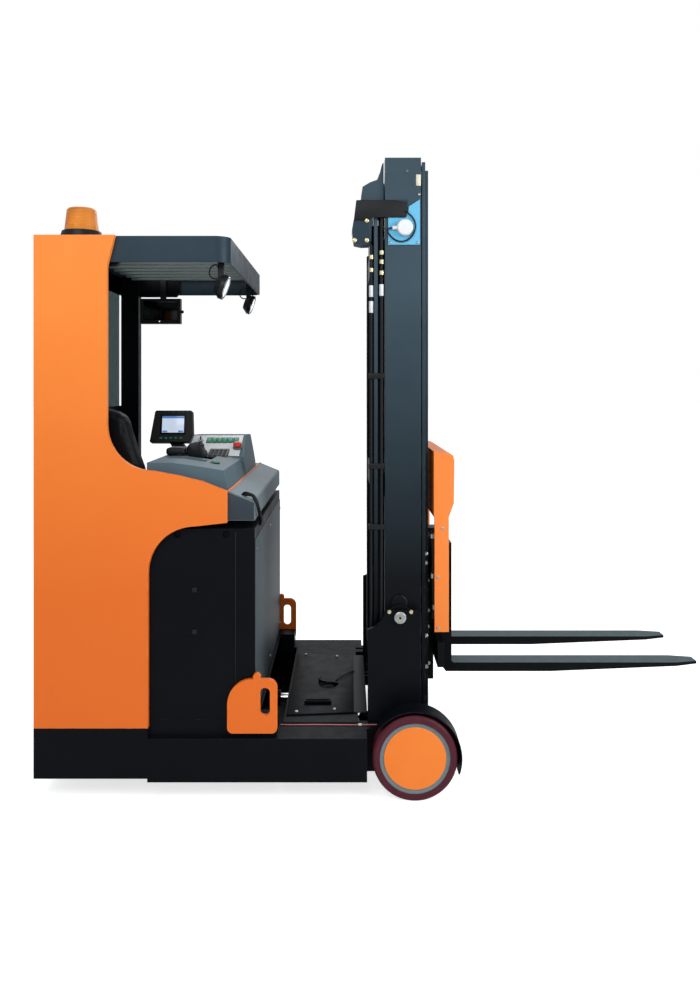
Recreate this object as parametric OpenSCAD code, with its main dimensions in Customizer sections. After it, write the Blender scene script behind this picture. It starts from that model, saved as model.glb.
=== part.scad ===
/* [Overall] */
// Width of the truck over its side panels
body_width = 1270; // [1200:10:1400]
// Distance from the origin back to the rear face
tail_x = 1370; // [1320:5:1450]
// Top of the overhead guard
guard_top = 2196; // [2120:2:2260]
// Top of the outer mast stage
mast_top = 2547; // [2450:1:2700]

/* [Chassis] */
// Underside of the rear skirt
skirt_bottom = 89; // [70:1:110]
// Top of the rear skirt, where the side panel starts
skirt_top = 284; // [270:1:290]
// Thickness of the skirt walls
skirt_wall = 20; // [12:1:30]
// Thickness of the deck plate over the drive unit
deck_t = 20; // [10:1:24]
// Underside of the support legs
leg_bottom = 75; // [60:1:90]
// Top of the support legs
leg_top = 244; // [236:1:250]
// Width of a support leg
leg_width = 135; // [125:1:150]
// Front end of the full leg profile, behind the load wheel
leg_front_x = -78; // [-100:1:-70]
// Height of the roller channel inside the leg
channel_h = 110; // [100:1:116]
// Depth of the roller channel inside the leg
channel_d = 28; // [26:1:30]
// Thickness of the leg that carries the load wheel
axle_arm_t = 40; // [38:1:44]
// Front end of that arm
axle_arm_x = 168; // [150:1:190]

/* [Wheels] */
// Diameter of a load wheel
load_wheel_d = 330; // [300:1:336]
// Width of a load wheel
load_wheel_w = 86; // [70:1:88]
// Place of the load wheel axle
load_axle_x = 108; // [100:1:115]
// Radius of the load wheel's hub face
hub_r = 120; // [100:1:125]
// Radius of the ring round the hub face
ring_r = 137; // [128:1:145]
// Radius of the load wheel's stub axle
stub_r = 25; // [18:1:32]
// Gap between load wheel and fender band
fender_gap = 13; // [10:1:20]
// Thickness of the fender sheet
fender_t = 5; // [3:1:8]
// Diameter of the drive wheel
drive_wheel_d = 343; // [320:1:343]
// Width of the drive wheel
drive_wheel_w = 140; // [110:2:150]
// Place of the drive wheel
drive_x = -1160; // [-1175:1:-1140]

/* [Battery] */
// Rear face of the battery case
battery_x = -928; // [-940:1:-900]
// Length of the battery case along the truck
battery_len = 412; // [380:1:420]
// Gap between the battery case and a side panel
battery_gap = 1; // [1:1:15]
// Height of the battery case
battery_h = 743; // [700:1:760]
// Height of the tray that carries the battery
tray_top = 310; // [300:1:320]
// Thickness of the tray plate
tray_t = 12; // [8:1:16]

/* [Side panel] */
// Thickness of the orange side panel
panel_t = 25; // [20:1:30]
// Front edge of the pillar part of the panel
pillar_x = -1087; // [-1110:1:-1060]
// Radius of the curve behind the seat
seat_curve_r = 178; // [150:1:200]
// Height of the centre of that curve
seat_curve_z = 1459; // [1440:1:1480]
// Radius of the arch over the battery
arch_r = 184; // [160:1:200]
// Front edge of the panel over the hood
panel_nose_x = -621; // [-640:1:-600]

/* [Overhead guard] */
// Front edge of the guard
guard_front_x = -616; // [-640:1:-590]
// Height of the guard's side sheets
guard_h = 102; // [90:1:120]
// Thickness of the guard's side sheets
guard_wall = 10; // [8:1:14]
// Width of the guard's top frame
guard_rim = 70; // [60:1:90]
// Number of bars across the opening
slat_count = 9; // [6:1:12]
// Width of a bar
slat_w = 26; // [16:1:40]
// Thickness of the rear cover
rear_cover_t = 25; // [20:1:32]
// Width of a rear post along the truck
post_x_w = 92; // [80:1:120]
// Width of a rear post across the truck
post_y_w = 70; // [50:1:90]
// Top of the rear cover, where the rear window starts
window_z = 1505; // [1450:1:1560]

/* [Cab] */
// Height of the cab floor
floor_z = 600; // [560:5:640]
// Height of the seat cushion's top
seat_z = 1030; // [1000:5:1060]
// Thickness of the seat cushion
cushion_t = 110; // [90:5:130]
// Top of the backrest
backrest_top = 1533; // [1500:1:1560]
// Centre of the seat along the truck
seat_x = -1150; // [-1155:1:-1140]
// Diameter of the steering wheel
steering_d = 250; // [220:5:260]

/* [Reach carriage] */
// Travel of the reach carriage
reach_stroke = 350; // [300:5:360]
// Rear end of the carriage
carriage_rear_x = -415; // [-425:1:-400]
// Place of the mast pivot along the truck
pivot_x = 59; // [50:1:65]
// Height of the mast pivot
pivot_z = 674; // [650:1:690]
// Radius of the mast pivot pin
pivot_r = 25; // [20:1:28]
// Thickness of a carriage side plate
side_plate_t = 20; // [16:1:22]
// Diameter of a carriage roller
roller_d = 100; // [90:1:104]

/* [Mast] */
// Lower end of the mast rails
rail_bottom = 82; // [75:1:100]
// Depth of an outer rail along the truck
rail_depth = 148; // [144:1:156]
// Depth of a middle rail along the truck
mid_depth = 134; // [133:1:138]
// Depth of an inner rail along the truck
inner_depth = 120; // [119:1:124]
// Gap between an outer rail and the support leg beside it
mast_gap = 59; // [56:1:64]
// Thickness of a rail flange
flange_t = 14; // [12:1:16]
// Thickness of a rail web
web_t = 12; // [10:1:14]
// Length of a rail flange from its web
flange_len = 58; // [54:1:60]
// How far each stage stands in front of the one outside it
stage_step = 33; // [30:1:36]
// How much of a fully lifted stage stays in the one outside it
stage_overlap = 715; // [680:5:900]
// Radius of a lift cylinder barrel
lift_barrel_r = 26; // [24:1:28]
// Radius of a lift cylinder rod
lift_rod_r = 18; // [15:1:20]

/* [Forks] */
// Length of the fork blades
fork_len = 1072; // [1000:1:1150]
// Width of a fork
fork_w = 100; // [80:1:120]
// Thickness of a fork
fork_t = 38; // [32:1:42]
// Underside of the fork blades
fork_bottom = 372; // [360:1:400]
// Distance of a fork's centre from the middle
fork_y = 190; // [150:1:230]
// Front face of the fork shanks
fork_face_x = 298; // [290:1:305]
// How far the forks can be lowered from here
fork_drop = 300; // [200:5:300]
// How far the forks can be lifted on the inner stage
fork_lift = 1400; // [1200:5:1420]

/* [Hidden] */
$fn = 48;

// Clearances: running gap of moving parts, fit of a pin in its bore, seat of a soft part
run_gap = 5;
pin_gap = 0.3;
seat_gap = 0.3;

half_w = body_width / 2;
leg_in = half_w - leg_width;
panel_in = half_w - panel_t;
battery_front = battery_x + battery_len;
battery_w = 2 * (panel_in - battery_gap);
mast_half_w = leg_in - mast_gap;
stage_lift = mast_top - rail_bottom - stage_overlap;
battery_top = tray_top + battery_h;
guard_bottom = guard_top - guard_h;
axle_z = load_wheel_d / 2;
channel_z = 160;
sill_front_x = -430;

// A box given by its lowest and its highest corner
module block(low, high) translate(low) cube(high - low);

// An outline drawn in the side view, given thickness from y on
module side_plate(y, t) translate([0, y + t, 0]) rotate([90, 0, 0]) linear_extrude(t) children();

// An outline drawn in the front view, given length along the truck from x on
module front_bar(x, len) translate([x, 0, 0]) rotate([90, 0, 90]) linear_extrude(len) children();

// A shaft across the truck, along the truck, or upright
module shaft_y(r, x, z, y0, y1) translate([x, y1, z]) rotate([90, 0, 0]) cylinder(r = r, h = y1 - y0);
module shaft_x(r, y, z, x0, x1) translate([x0, y, z]) rotate([0, 90, 0]) cylinder(r = r, h = x1 - x0);
module shaft_z(r, x, y, z0, z1) translate([x, y, z0]) cylinder(r = r, h = z1 - z0);

// The same piece on the near and the far side
module both_sides() {
    children();
    mirror([0, 1, 0]) children();
}

// A flat outline with rounded corners
module round_box(x0, z0, x1, z1, r) {
    hull() for (x = [x0 + r, x1 - r], z = [z0 + r, z1 - r]) translate([x, z]) circle(r);
}

// Chassis: skirt tub, battery sills, support legs and axle arms
tub_front_x = battery_x - 2;
bay_half = 170;
bay_wall = 12;
bay_top = 384;
bearing_hole_r = 132;
module leg_section() {
    difference() {
        translate([leg_in, leg_bottom]) square([leg_width, leg_top - leg_bottom]);
        translate([leg_in - 1, channel_z - channel_h / 2]) square([channel_d + 1, channel_h]);
    }
}
module axle_arm() {
    difference() {
        side_plate(leg_in, axle_arm_t) difference() {
            translate([leg_front_x - 1, leg_bottom])
                square([axle_arm_x - leg_front_x + 1, leg_top - leg_bottom]);
            translate([axle_arm_x - 30, leg_top - 30]) difference() {
                square(31);
                circle(30);
            }
        }
        block([leg_front_x - 2, leg_in - 1, channel_z - channel_h / 2],
            [axle_arm_x - 12, leg_in + channel_d, channel_z + channel_h / 2]);
    }
}
module chassis() color([0.08, 0.09, 0.1]) {
    difference() {
        block([-tail_x, -half_w, skirt_bottom], [tub_front_x, half_w, skirt_top]);
        block([-tail_x + skirt_wall, -half_w + skirt_wall, skirt_bottom - 1],
            [tub_front_x - skirt_wall, half_w - skirt_wall, skirt_top - deck_t]);
        block([drive_x - bay_half, -bay_half, skirt_top - deck_t - 1], [drive_x + bay_half, bay_half, skirt_top + 1]);
    }
    difference() {
        block([drive_x - bay_half - bay_wall, -bay_half - bay_wall, skirt_top - deck_t],
            [drive_x + bay_half + bay_wall, bay_half + bay_wall, bay_top]);
        block([drive_x - bay_half, -bay_half, skirt_top - deck_t - 1],
            [drive_x + bay_half, bay_half, bay_top - bay_wall]);
        shaft_z(bearing_hole_r, drive_x, 0, bay_top - bay_wall - 1, bay_top + 1);
    }
    both_sides() {
        front_bar(tub_front_x, leg_front_x - tub_front_x) leg_section();
        axle_arm();
        shaft_y(stub_r, load_axle_x, axle_z, leg_in + axle_arm_t - 1, half_w - 12);
        block([tub_front_x, leg_in, leg_top], [sill_front_x, panel_in, tray_top - tray_t]);
    }
    block([tub_front_x, -panel_in, tray_top - tray_t], [battery_front + 14, panel_in, tray_top]);
    both_sides() block([tub_front_x, panel_in - 100, tray_top - tray_t - 1], [sill_front_x, panel_in, tray_top]);
}

// Orange side panel with its pillar, seat curve and battery arch
arch_x = battery_x + arch_r;
arch_z = 882;
pillar_top_x = -1057;
pillar_flare_z = 2075;
module panel_outline() {
    difference() {
        polygon([[-tail_x, skirt_top], [battery_x, skirt_top], [battery_x, arch_z],
            [arch_x, arch_z + arch_r], [panel_nose_x, 1080], [panel_nose_x, 1202], [-717, 1240],
            [-816, 1264], [pillar_x + seat_curve_r, seat_curve_z - seat_curve_r],
            [pillar_x, seat_curve_z], [pillar_x, pillar_flare_z], [pillar_top_x, guard_top],
            [-tail_x, guard_top]]);
        translate([arch_x, arch_z]) circle(arch_r, $fn = 96);
        translate([pillar_x + seat_curve_r, seat_curve_z]) circle(seat_curve_r, $fn = 96);
    }
}
module side_panel() color([0.95, 0.5, 0.22]) side_plate(-half_w, panel_t) panel_outline();

// Rear cover and the low far panel with its step opening
rear_in_x = -tail_x + rear_cover_t;
step_low = 330;
step_high = 470;
module rear_cover() color([0.95, 0.5, 0.22]) {
    block([-tail_x, -panel_in, skirt_top], [rear_in_x, half_w, window_z]);
    difference() {
        block([rear_in_x, panel_in, skirt_top], [battery_x, half_w, floor_z + 30]);
        block([-1210, panel_in - 1, step_low], [-990, half_w + 1, step_high]);
    }
}

// Floor, bulkhead towards the battery, step box and pedals
bulkhead_t = 14;
floor_t = 16;
drive_bay_y = -200;
module cab_frame() color([0.1, 0.11, 0.12]) {
    block([battery_x - bulkhead_t, -panel_in, skirt_top], [battery_x - 2, panel_in, 1085]);
    block([rear_in_x, drive_bay_y, floor_z - floor_t], [battery_x - bulkhead_t, panel_in, floor_z]);
    block([-1225, 380, step_low - 12], [-975, panel_in, step_low]);
    for (x = [-1140, -1060, -990])
        front_bar(x, 60) polygon([[300, floor_z], [390, floor_z], [385, floor_z + 62], [378, floor_z + 62]]);
    block([rear_in_x, 60, floor_z], [-1160, 330, 1080]);
    translate([-1205, 195, 1079]) cylinder(r = 24, h = 61);
}

// Seat box, cushion and backrest
seat_half_w = 192;
seat_back_y = -panel_in + 84;
seat_box_y = -60;
seat_box_top = 860;
seat_wall = 14;
cushion_bottom = seat_z - cushion_t;
shoulder_z = backrest_top - 233;
headrest_z = backrest_top - 153;
backrest_t = 110;
module seat_base() color([0.08, 0.08, 0.09]) {
    difference() {
        union() {
            block([rear_in_x, -panel_in, skirt_top], [battery_x - bulkhead_t, drive_bay_y, floor_z]);
            block([rear_in_x, -panel_in, floor_z], [battery_x - bulkhead_t, seat_box_y, seat_box_top]);
        }
        block([rear_in_x + seat_wall, -panel_in + seat_wall, skirt_top - 1],
            [battery_x - bulkhead_t - seat_wall, drive_bay_y - seat_wall, seat_box_top - seat_wall]);
    }
    block([seat_x - 150, seat_back_y + 36, seat_box_top],
        [seat_x + 150, seat_box_y - 50, cushion_bottom - seat_gap]);
    block([seat_x - 60, seat_back_y - 12, seat_box_top],
        [seat_x + 60, seat_back_y - seat_gap, headrest_z]);
}
module seat_cushion() color([0.07, 0.07, 0.08])
    translate([0, 0, cushion_bottom]) linear_extrude(cushion_t)
        round_box(seat_x - seat_half_w, seat_back_y + 16, seat_x + seat_half_w, seat_box_y - 10, 50);
module backrest() color([0.07, 0.07, 0.08])
    side_plate(seat_back_y, backrest_t) hull() {
        translate([seat_x, 0]) round_box(-seat_half_w, seat_z + 30, seat_half_w, shoulder_z, 60);
        translate([seat_x, 0]) round_box(-120, headrest_z, 120, backrest_top, 70);
    }

// Battery case with lifting holes
module battery() color([0.06, 0.07, 0.08]) difference() {
    block([battery_x, -battery_w / 2, tray_top], [battery_front, battery_w / 2, battery_top]);
    for (x = [-818, -628], side = [-1, 1])
        shaft_y(15, x, battery_top - 22, side * (battery_w / 2) - 12, side * (battery_w / 2) + 12);
}

// Battery lock plates with their slots and bosses
module lock_outline() translate([battery_front, tray_top]) {
    difference() {
        union() {
            round_box(-105, -48, 89, 90, 22);
            hull() {
                translate([-8, 65]) circle(97);
                translate([54, 127]) circle(35);
                translate([16, -10]) square([73, 20]);
            }
        }
        round_box(23, 22, 61, 129, 18);
    }
    translate([10, 170]) circle(15);
}
module battery_locks() color([0.95, 0.5, 0.22]) both_sides() {
    side_plate(panel_in, 20) lock_outline();
}

// Hood over the battery
hood_z = 1085;
hood_top = 1199;
module hood() color([0.28, 0.33, 0.35]) side_plate(-panel_in, 2 * panel_in)
    polygon([[battery_x, hood_z], [battery_front, hood_z], [battery_front - 1, hood_z + 70],
        [battery_front - 7, hood_z + 76], [panel_nose_x + 4, hood_top], [battery_x, hood_top]]);

// Console on the hood: armrest with a tray, a well for the levers, and a ridge with the switch panel
console_rear_x = battery_x - 14;
console_near_y = -panel_in + 20;
arm_top = 1309;
arm_nose_z = arm_top - 31;
arm_nose_x = panel_nose_x - 19;
well_y = -275;
well_floor = arm_top - 59;
ridge_y = -42;
ridge_top = arm_top + 67;
ridge_rear_x = -903;
module console() color([0.4, 0.46, 0.48]) {
    difference() {
        side_plate(console_near_y, ridge_y + 30 - console_near_y)
            polygon([[console_rear_x, hood_top], [panel_nose_x, hood_top], [arm_nose_x, arm_nose_z],
                [-711, arm_top - 19], [-840, arm_top], [console_rear_x, arm_top]]);
        block([console_rear_x + 18, well_y, well_floor], [-739, ridge_y, arm_top + 1]);
        block([-905, well_y - 118, arm_top - 24], [-745, well_y - 42, arm_top + 1]);
    }
    intersection() {
        front_bar(ridge_rear_x, panel_nose_x - ridge_rear_x)
            polygon([[ridge_y, hood_top], [ridge_y, arm_top - 23], [146, ridge_top], [330, ridge_top - 6],
                [370, arm_top - 20], [400, hood_top]]);
        side_plate(ridge_y, 450) polygon([[ridge_rear_x, hood_top], [panel_nose_x + 4, hood_top],
            [arm_nose_x, ridge_top + 1], [ridge_rear_x + 10, ridge_top + 1], [ridge_rear_x, arm_top - 19]]);
    }
}

// Hand rest, joystick and two finger levers in the console's well
module console_controls() color([0.08, 0.09, 0.1]) {
    block([-915, -262, well_floor], [-845, -150, well_floor + 62]);
    translate([-880, -206, well_floor + 61]) scale([35, 56, 22]) sphere(1, $fn = 32);
    translate([-806, -215, well_floor]) {
        cylinder(r1 = 30, r2 = 20, h = 34);
        cylinder(r = 10, h = 80);
        translate([0, 0, 70]) cylinder(r1 = 19, r2 = 27, h = 34);
        translate([0, 0, 103]) cylinder(r1 = 27, r2 = 16, h = 12);
    }
    for (y = [-120, -85]) translate([-800, y, well_floor]) {
        cylinder(r = 13, h = 12);
        cylinder(r = 5, h = 62);
        translate([0, 0, 62]) sphere(11);
    }
}

// Display on an arm that leans out from the console
module display() color([0.1, 0.11, 0.12]) {
    translate([ridge_rear_x - 100, 200, ridge_top + 34]) rotate([-10, 0, 0]) {
        side_plate(-20, 40) polygon([[-105, -72], [-98, -79], [98, -79], [105, -72], [97, 73],
            [91, 79], [-78, 79], [-84, 73]]);
        block([-96, -27, -76], [98, -19, -46]);
    }
    side_plate(180, 40) polygon([[console_rear_x, hood_top + 20], [console_rear_x + 20, hood_top],
        [ridge_rear_x - seat_gap, hood_top], [ridge_rear_x - seat_gap, ridge_top - 106], [ridge_rear_x - 57, ridge_top - 36],
        [ridge_rear_x - 117, ridge_top - 31]]);
}

// Overhead guard: folded edge sheets with a rim, and bars across the opening
guard_half_w = panel_in;
rim_t = 12;
open_x0 = -tail_x + 140;
open_x1 = guard_front_x - guard_rim;
open_y = guard_half_w - guard_rim;
guard_corner_r = 60;
module guard_plan(inset) {
    front = guard_front_x - inset;
    side = guard_half_w - inset;
    r = guard_corner_r - inset;
    translate([-tail_x + inset, -side]) square([front - r + tail_x - inset, 2 * side]);
    translate([front - r - 1, -side + r]) square([r + 1, 2 * (side - r)]);
    for (y = [-side + r, side - r]) translate([front - r, y]) circle(r);
}
module guard_frame() color([0.24, 0.29, 0.33]) difference() {
    translate([0, 0, guard_bottom]) linear_extrude(guard_h) guard_plan(0);
    translate([0, 0, guard_bottom - 1]) linear_extrude(guard_h - rim_t + 1) guard_plan(guard_wall);
    block([open_x0, -open_y, guard_bottom], [open_x1, open_y, guard_top + 1]);
}
slat_pitch = 2 * open_y / (slat_count + 1);
module guard_bars() color([0.55, 0.6, 0.62])
    for (i = [1 : slat_count])
        block([open_x0 - 30, -open_y + i * slat_pitch - slat_w / 2, guard_top - rim_t - 30],
            [open_x1 + 30, -open_y + i * slat_pitch + slat_w / 2, guard_top - rim_t]);

// Rear posts with brackets under the guard
post_x = rear_in_x;
module rear_posts() color([0.08, 0.09, 0.1]) for (far = [0, 1]) mirror([0, 1 - far, 0]) {
    block([post_x, panel_in - post_y_w, far > 0 ? floor_z : seat_box_top],
        [post_x + post_x_w, panel_in - guard_wall, guard_top - rim_t]);
    side_plate(panel_in - 40, 24) polygon([[post_x + post_x_w, guard_bottom - 12],
        [-1060, guard_bottom - 12], [-1043, guard_bottom + 10], [-1043, guard_top - rim_t - 4],
        [post_x + post_x_w, guard_top - rim_t - 4]]);
}
module rear_window() color([0.7, 0.8, 0.78, 0.5])
    block([-tail_x + guard_wall, -panel_in + post_y_w, window_z],
        [-tail_x + guard_wall + 6, panel_in - post_y_w, guard_top - rim_t]);

// Round work lamps on brackets under the front corners of the guard
lamp_r = 50;
lamp_t = 42;
module work_lamps() color([0.12, 0.13, 0.14])
    for (lamp = [[guard_front_x - 42, -open_y, guard_bottom - 86],
            [guard_front_x - 56, open_y - 10, guard_bottom - 54]]) translate(lamp) {
        rotate([0, 110, 0]) translate([0, 0, -lamp_t / 2]) rotate_extrude()
            polygon([[0, 0], [lamp_r - 20, 0], [lamp_r - 3, 22], [lamp_r, 24], [lamp_r, lamp_t],
                [lamp_r - 5, lamp_t], [lamp_r - 9, lamp_t - 9], [0, lamp_t - 9]]);
        block([-12, -8, 30], [12, 8, guard_top - rim_t - lamp[2]]);
    }

// Beacon
beacon_x = -1241;
beacon_y = -450;
beacon_base_h = 44;
module beacon_base() color([0.2, 0.2, 0.2])
    translate([beacon_x, beacon_y, guard_top]) cylinder(r1 = 92, r2 = 78, h = beacon_base_h);
module beacon_lens() color([0.95, 0.45, 0.05])
    translate([beacon_x, beacon_y, guard_top + beacon_base_h]) rotate_extrude()
        polygon([[0, 0], [68, 0], [68, 8], [59, 86], [53, 93], [0, 93]]);

// Monitor hung from the guard
monitor_y = panel_in - 130;
monitor_top = guard_bottom - 30;
module monitor() color([0.06, 0.06, 0.07]) {
    difference() {
        block([-1230, monitor_y, monitor_top - 130], [-1021, monitor_y + 40, monitor_top]);
        block([-1216, monitor_y - 1, monitor_top - 112], [-1035, monitor_y + 4, monitor_top - 12]);
    }
    block([-1140, monitor_y + 39, monitor_top - 18], [-1110, monitor_y + 80, monitor_top - 6]);
    block([-1140, monitor_y + 68, monitor_top - 18], [-1110, monitor_y + 80, guard_top - rim_t]);
}

// Fenders over the load wheels: a curved band with an inner sheet
fender_in_r = axle_z + fender_gap;
fender_y = leg_in + axle_arm_t;
module fender_sector(r) {
    intersection() {
        circle(r, $fn = 96);
        polygon([[0, 0], [300, -105], [300, 300], [-300, 300], [-300, 250]]);
    }
}
module fenders() color([0.07, 0.08, 0.09]) both_sides() translate([load_axle_x, 0, axle_z]) {
    side_plate(fender_y, half_w - fender_y) difference() {
        fender_sector(fender_in_r + fender_t);
        circle(fender_in_r, $fn = 96);
    }
    side_plate(fender_y, 3) difference() {
        fender_sector(fender_in_r + 1);
        circle(stub_r + 20);
    }
}

// Reach cylinder barrel under the battery
reach_z = 170;
reach_barrel_r = 36;
reach_rod_r = 20;
reach_lug_x = -105;
reach_barrel_front = reach_lug_x - reach_stroke - run_gap;
module reach_barrel() color([0.1, 0.1, 0.11]) difference() {
    shaft_x(reach_barrel_r, 0, reach_z, tub_front_x, reach_barrel_front);
    shaft_x(reach_rod_r + pin_gap, 0, reach_z, tub_front_x + 15, reach_barrel_front + 1);
}
module reach_rod() color([0.8, 0.82, 0.84])
    shaft_x(reach_rod_r, 0, reach_z, reach_barrel_front - 25, reach_lug_x);

// Steering wheel on its column
steer_pos = [-1205, 195, 1140];
module steering_wheel() color([0.05, 0.05, 0.06]) translate(steer_pos) {
    translate([0, 0, seat_gap]) cylinder(r = 32, h = 30);
    translate([0, 0, 20]) rotate_extrude() translate([steering_d / 2 - 13, 0]) circle(13);
    for (a = [30, 150, 270]) rotate(a) translate([28, -10, 12]) cube([steering_d / 2 - 46, 20, 12]);
}

// Load wheels: tyre on a rim, and the hub face
wheel_out = half_w - 1;
wheel_in = wheel_out - load_wheel_w;
module load_tyre(side) color([0.27, 0.08, 0.14]) mirror([0, side > 0 ? 0 : 1, 0])
    translate([load_axle_x, wheel_in, axle_z]) rotate([-90, 0, 0]) rotate_extrude($fn = 96)
        polygon([[ring_r, 0], [axle_z - 8, 0], [axle_z, 8], [axle_z, load_wheel_w - 8],
            [axle_z - 8, load_wheel_w], [ring_r, load_wheel_w]]);
module load_hub(side) color([0.95, 0.55, 0.25]) mirror([0, side > 0 ? 0 : 1, 0])
    translate([load_axle_x, wheel_in, axle_z]) rotate([-90, 0, 0]) rotate_extrude($fn = 96)
        polygon([[stub_r + pin_gap, 4], [ring_r, 4], [ring_r, load_wheel_w - 4], [hub_r + 2, load_wheel_w - 6],
            [hub_r, load_wheel_w - 3], [0, load_wheel_w - 3], [0, load_wheel_w - 8],
            [stub_r + pin_gap, load_wheel_w - 8]]);
module load_tyre_near() load_tyre(-1);
module load_tyre_far() load_tyre(1);
module load_hub_near() load_hub(-1);
module load_hub_far() load_hub(1);

// Drive unit: steered fork arm, gearbox and motor over the drive wheel
drive_z = drive_wheel_d / 2;
module drive_unit() color([0.15, 0.16, 0.17]) {
    translate([drive_x, 0, 0]) {
        shaft_z(125, 0, 0, drive_wheel_d + 12, bay_top + 40);
        shaft_z(bearing_hole_r + 20, 0, 0, bay_top + seat_gap, bay_top + 20);
        shaft_z(110, 0, 0, bay_top + 39, floor_z - 40);
        block([-70, drive_wheel_w / 2 + 6, drive_z - 70], [70, drive_wheel_w / 2 + 46, drive_wheel_d + 13]);
        shaft_y(28, 0, drive_z, -drive_wheel_w / 2 + 10, drive_wheel_w / 2 + 7);
    }
}
module drive_wheel() color([0.12, 0.12, 0.12]) difference() {
    translate([drive_x, -drive_wheel_w / 2, drive_z]) rotate([-90, 0, 0]) rotate_extrude($fn = 96)
        polygon([[0, 0], [90, 0], [96, 12], [130, 12], [136, 0], [drive_z - 8, 0], [drive_z, 8],
            [drive_z, drive_wheel_w - 8], [drive_z - 8, drive_wheel_w], [0, drive_wheel_w]]);
    shaft_y(28 + pin_gap, drive_x, drive_z, -drive_wheel_w / 2 + 9, drive_wheel_w / 2 + 1);
}

// Reach carriage: side plates with the mast pivots, side beams, cross beam, floor plate, rollers
plate_out = leg_in - 10;
plate_in = plate_out - side_plate_t;
carriage_low = 100;
plate_rear_x = -72;
plate_front_x = 140;
plate_top = 702;
floor_plate_z = 250;
floor_plate_front = -110;
roller_xs = [-360, 50];
beam_in = mast_half_w + run_gap + 2;
module carriage_side() {
    side_plate(plate_in, side_plate_t) difference() {
        polygon([[plate_rear_x, carriage_low], [plate_front_x, carriage_low],
            [plate_front_x, plate_top - 12], [plate_front_x - 12, plate_top], [0, plate_top],
            [plate_rear_x, plate_top - 70]]);
        translate([plate_rear_x - 20, plate_top + 8]) circle(88);
    }
    block([carriage_rear_x, beam_in, carriage_low + 10], [plate_rear_x, plate_out, floor_plate_z - 10]);
    for (x = roller_xs) {
        shaft_y(18, x, channel_z, plate_out - 1, leg_in + 1);
        shaft_y(roller_d / 2, x, channel_z, leg_in + 1, leg_in + channel_d - 3);
    }
    shaft_y(pivot_r, pivot_x, pivot_z, mast_half_w + 1, plate_out + 7);
}
module carriage() color([0.07, 0.08, 0.09]) {
    both_sides() carriage_side();
    difference() {
        block([carriage_rear_x, -plate_in, carriage_low + 10],
            [carriage_rear_x + 40, plate_in, floor_plate_z - 10]);
        shaft_x(reach_barrel_r + run_gap, 0, reach_z, carriage_rear_x - 1, carriage_rear_x + 41);
    }
    block([carriage_rear_x, -plate_out, floor_plate_z - 10], [floor_plate_front, plate_out, floor_plate_z]);
    block([reach_lug_x, -40, reach_z - 34], [reach_lug_x + 14, 40, floor_plate_z - 9]);
    block([reach_lug_x - 6, -40, floor_plate_z - 10], [reach_lug_x + 14, 40, floor_plate_z]);
    shaft_x(12, -300, floor_plate_z + 14, -330, -230);
    for (x = [-338, -230])
        block([x, -312, floor_plate_z - 1], [x + 8, -288, floor_plate_z + 20]);
    for (y = tilt_ys, side = [-1, 1])
        side_plate(y + side * 34 - 6, 12) polygon([[carriage_rear_x + 39, 130], [-350, 130], [-335, 150],
            [-335, 190], [-350, floor_plate_z - 9], [carriage_rear_x + 39, floor_plate_z - 9]]);
    for (y = tilt_ys) shaft_y(12, tilt_rear_x, tilt_z, y - 41, y + 41);
}

// Tilt cylinders between the carriage and the foot of the mast
tilt_z = 170;
tilt_y = mast_half_w - 191;
tilt_ys = [-tilt_y, tilt_y];
tilt_rear_x = -350;
tilt_eye_x = -84;
tilt_pin_r = 10;
tilt_eye_gap = 2.5;
tilt_barrel_front = -140;
module tilt_barrels() color([0.1, 0.1, 0.11]) for (y = tilt_ys) difference() {
    union() {
        shaft_x(30, y, tilt_z, tilt_rear_x + 26, tilt_barrel_front);
        shaft_y(24, tilt_rear_x, tilt_z, y - 22, y + 22);
        block([tilt_rear_x, y - 18, tilt_z - 18], [tilt_rear_x + 40, y + 18, tilt_z + 18]);
    }
    shaft_y(12 + pin_gap, tilt_rear_x, tilt_z, y - 23, y + 23);
    shaft_x(14 + pin_gap, y, tilt_z, tilt_rear_x + 60, tilt_barrel_front + 1);
}
module tilt_rods() color([0.8, 0.82, 0.84]) for (y = tilt_ys) difference() {
    union() {
        shaft_x(14, y, tilt_z, tilt_barrel_front - 60, tilt_eye_x - 13);
        shaft_y(22, tilt_eye_x, tilt_z, y - 15, y + 15);
    }
    shaft_y(tilt_pin_r + tilt_eye_gap, tilt_eye_x, tilt_z, y - 16, y + 16);
}

// Mast rails: the outer stage is a channel, the inner stages are beams nested in one another
outer_web_in = mast_half_w - web_t;
outer_tip = mast_half_w - flange_len - web_t;
mid_web_out = outer_tip - run_gap;
mid_web_in = mid_web_out - web_t;
inner_web_out = mid_web_in - flange_len - run_gap - 1;
inner_web_in = inner_web_out - web_t;
inner_tip = inner_web_in - flange_len;
module rail_plan(x, depth, y_out, y_web_out, y_in) {
    translate([x, y_web_out - web_t]) square([depth, web_t]);
    for (fx = [x, x + depth - flange_t]) translate([fx, y_in]) square([flange_t, y_out - y_in]);
}
module rail(z0, z1) both_sides() translate([0, 0, z0]) linear_extrude(z1 - z0) children();
outer_cross_x = -50;
cross_t = 16;
mid_x = stage_step;
inner_x = 2 * stage_step;
boss_r = 44;
function roller_r(depth) = depth / 2 - flange_t - pin_gap;
notch = 2 * roller_r(rail_depth) + 10;
outer_roller_x = mid_x + mid_depth / 2;
outer_cross_y = mast_half_w - 77;
outer_cross_zs = [[rail_bottom + 8, 200], [1150, 1250], [mast_top - 427, mast_top - 327]];
mid_top = mast_top - 14;
inner_top = mast_top - 30;
module stage_roller(depth, x, z, y0, y1) both_sides() shaft_y(roller_r(depth), x, z, y0, y1);
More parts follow.
